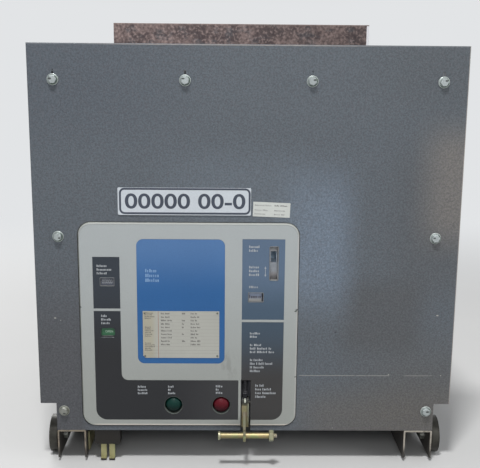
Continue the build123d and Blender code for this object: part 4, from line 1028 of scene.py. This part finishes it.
hook = ((7, 118.2), (4.2, 118.8), (1.8, 118.2), (0.6, 117), (0.3, 115.7), (1, 114.5))
shape = bmesh.new()
wound(shape, [(at(-1.1, depth, z), Vector((1, 0, 0))) for depth, z in hook], 1.7, sides=10)
bright_hook = coated("spring_hook", (206, 210, 196), (226, 228, 216), rough=0.4, metal=0.2, wear=0.3)
piece("latch_spring_hook", shape, bright_hook, body="latch_handle", smooth=60)

# Identification tag and sticker: an engraved laminate tag, white with black figures inside a dark
# border, stuck on the panel, and beside it a small paper label, stuck on askew, with printed rows.
tag_white = coated(
    "tag_white", (193, 199, 205), (214, 216, 218), rough=0.35, drift=0.04, speck=(420, 0.1), wear=0.3
)
dress(tag_white, "identification_tag")
tag_black = coated("tag_black", (64, 70, 82), (64, 70, 82), rough=0.45, drift=0.2, wear=0.0)
shape = bmesh.new()
rim(shape, (-217.1, 462.8, 1.6, 501.7), 3.4, 5.8, -1.58, -1.47)
figures(shape, "00000 00-0", -210.6, 468.9, 206.6, 26.6, -1.48, bold=0.016)
piece("tag_engraving", shape, tag_black)
paper = coated(
    "sticker_paper", (194, 197, 193), (210, 210, 200), rough=0.7, drift=0.1, speck=(500, 0.06), wear=0.2
)
label_turn = Matrix.Rotation(math.radians(2.1), 4, "Y")
label_middle = at(41.9, 0, 468.05)
label_place = Matrix.Translation(label_middle) @ label_turn @ Matrix.Translation(-label_middle)
shape = bmesh.new()
label_front = -0.4
slab(shape, round_box(9.3, 455.3, 73.4, 480.8, 0.8), label_front, 0)
shape.transform(label_place)
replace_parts(piece("sticker_paper", shape, paper), "inspection_sticker")
grey_rows = [(12.2, 476.6, (8, 5)), (12.2, 468.2, (6, 4)), (12.2, 461.4, (9,))]
grey_rows += [(46, 468.2, (9,)), (46, 461.4, (5, 3))]
for name, tone, rows in (("grey", 158, grey_rows), ("dark", 112, [(46.2, 476.8, (4, 6))])):
    print_ink = printing_ink(f"sticker_{name}_ink", (tone, tone, tone), rough=0.7)
    shape = bmesh.new()
    for left, top, words in rows:
        printed_rows(shape, left, top, [words], 2.1, 5.6, label_front, 90 + tone, height=0.42)
    shape.transform(label_place)
    piece(f"sticker_{name}_printing", shape, print_ink)

# Floor, lamps, world and camera: a plain pale floor that fades into a pale backdrop, soft studio light
# from above the camera, and the camera where the photograph was taken from.
backdrop = tint(226, 228, 230)


def sees_backdrop(finish):
    """1 for the rays that show the backdrop: the camera's, and those off gloss or through glass."""
    ray = finish.node("LightPath").socket.node.outputs
    return sum(Signal(finish, ray[f"Is {kind} Ray"]) for kind in ("Camera", "Glossy", "Transmission"))


disc = bmesh.new()
bmesh.ops.create_circle(disc, cap_ends=True, segments=96, radius=30)
disc_mesh = bpy.data.meshes.new("floor")
disc.to_mesh(disc_mesh)
disc.free()
floor = placed("floor", disc_mesh)
ground = Finish("floor_pale")
away = ground.x.hypot(ground.y)
scuffs = ground.noise(3, 4)
ground.paint(colour=ground.shade((198, 198, 197), 0.97 + scuffs * 0.06), rough=0.75)
glow = ground.node("Emission", inputs={"Color": backdrop})
surface = Signal(ground, ground.tree.nodes["Principled BSDF"].outputs[0])
far_off = away.step(0.8, 2.4) * sees_backdrop(ground)
seen = ground.node("MixShader", inputs={0: far_off, 1: surface, 2: glow})
ground.feed(ground.tree.nodes["Material Output"], {"Surface": seen})
disc_mesh.materials.append(ground.owner)

world = bpy.data.worlds.new("studio")
bpy.context.scene.world = world
air = Finish(world)
ambient = air.node("Background", inputs={"Color": (0.95, 0.97, 1.0, 1.0), "Strength": 0.36})
pale = air.node("Background", inputs={"Color": backdrop})
seen = air.node("MixShader", inputs={0: sees_backdrop(air), 1: ambient, 2: pale})
air.feed(air.tree.nodes["World Output"], {"Surface": seen})


def lamp(name, spot, target, size, power):
    light = bpy.data.lights.new(name, "AREA")
    light.shape = "RECTANGLE"
    light.size, light.size_y = size
    light.energy = power
    holder = placed(name, light)
    holder.location = spot
    holder.rotation_euler = (Vector(target) - Vector(spot)).to_track_quat("-Z", "Y").to_euler()


lamp("key", (-0.25, -1.6, 3.6), (0, -0.3, 0.4), (0.45, 0.35), 103)
lamp("front", (0.1, -2.8, 1.6), (0, -0.3, 0.4), (1.0, 0.7), 11)
lamp("fill", (2.6, -1.4, 1.2), (0, 0, 0.4), (1.4, 1.4), 16)
lamp("rear", (-1.6, 2.6, 1.8), (0, 0.1, 0.4), (2.0, 1.4), 50)

lens = bpy.data.cameras.new("camera")
lens.lens = 62.53
lens.sensor_width = 36.0
camera = placed("camera", lens)
turn = Matrix.Rotation(math.radians(-0.835), 4, "Z") @ Matrix.Rotation(math.radians(90 - 11.53), 4, "X")
turn = turn @ Matrix.Rotation(math.radians(0.4824), 4, "Z")
camera.matrix_world = Matrix.Translation((-0.03335, front_y - 1.41524, 0.71397)) @ turn
bpy.context.scene.camera = camera
bpy.context.scene.view_settings.view_transform = "Standard"
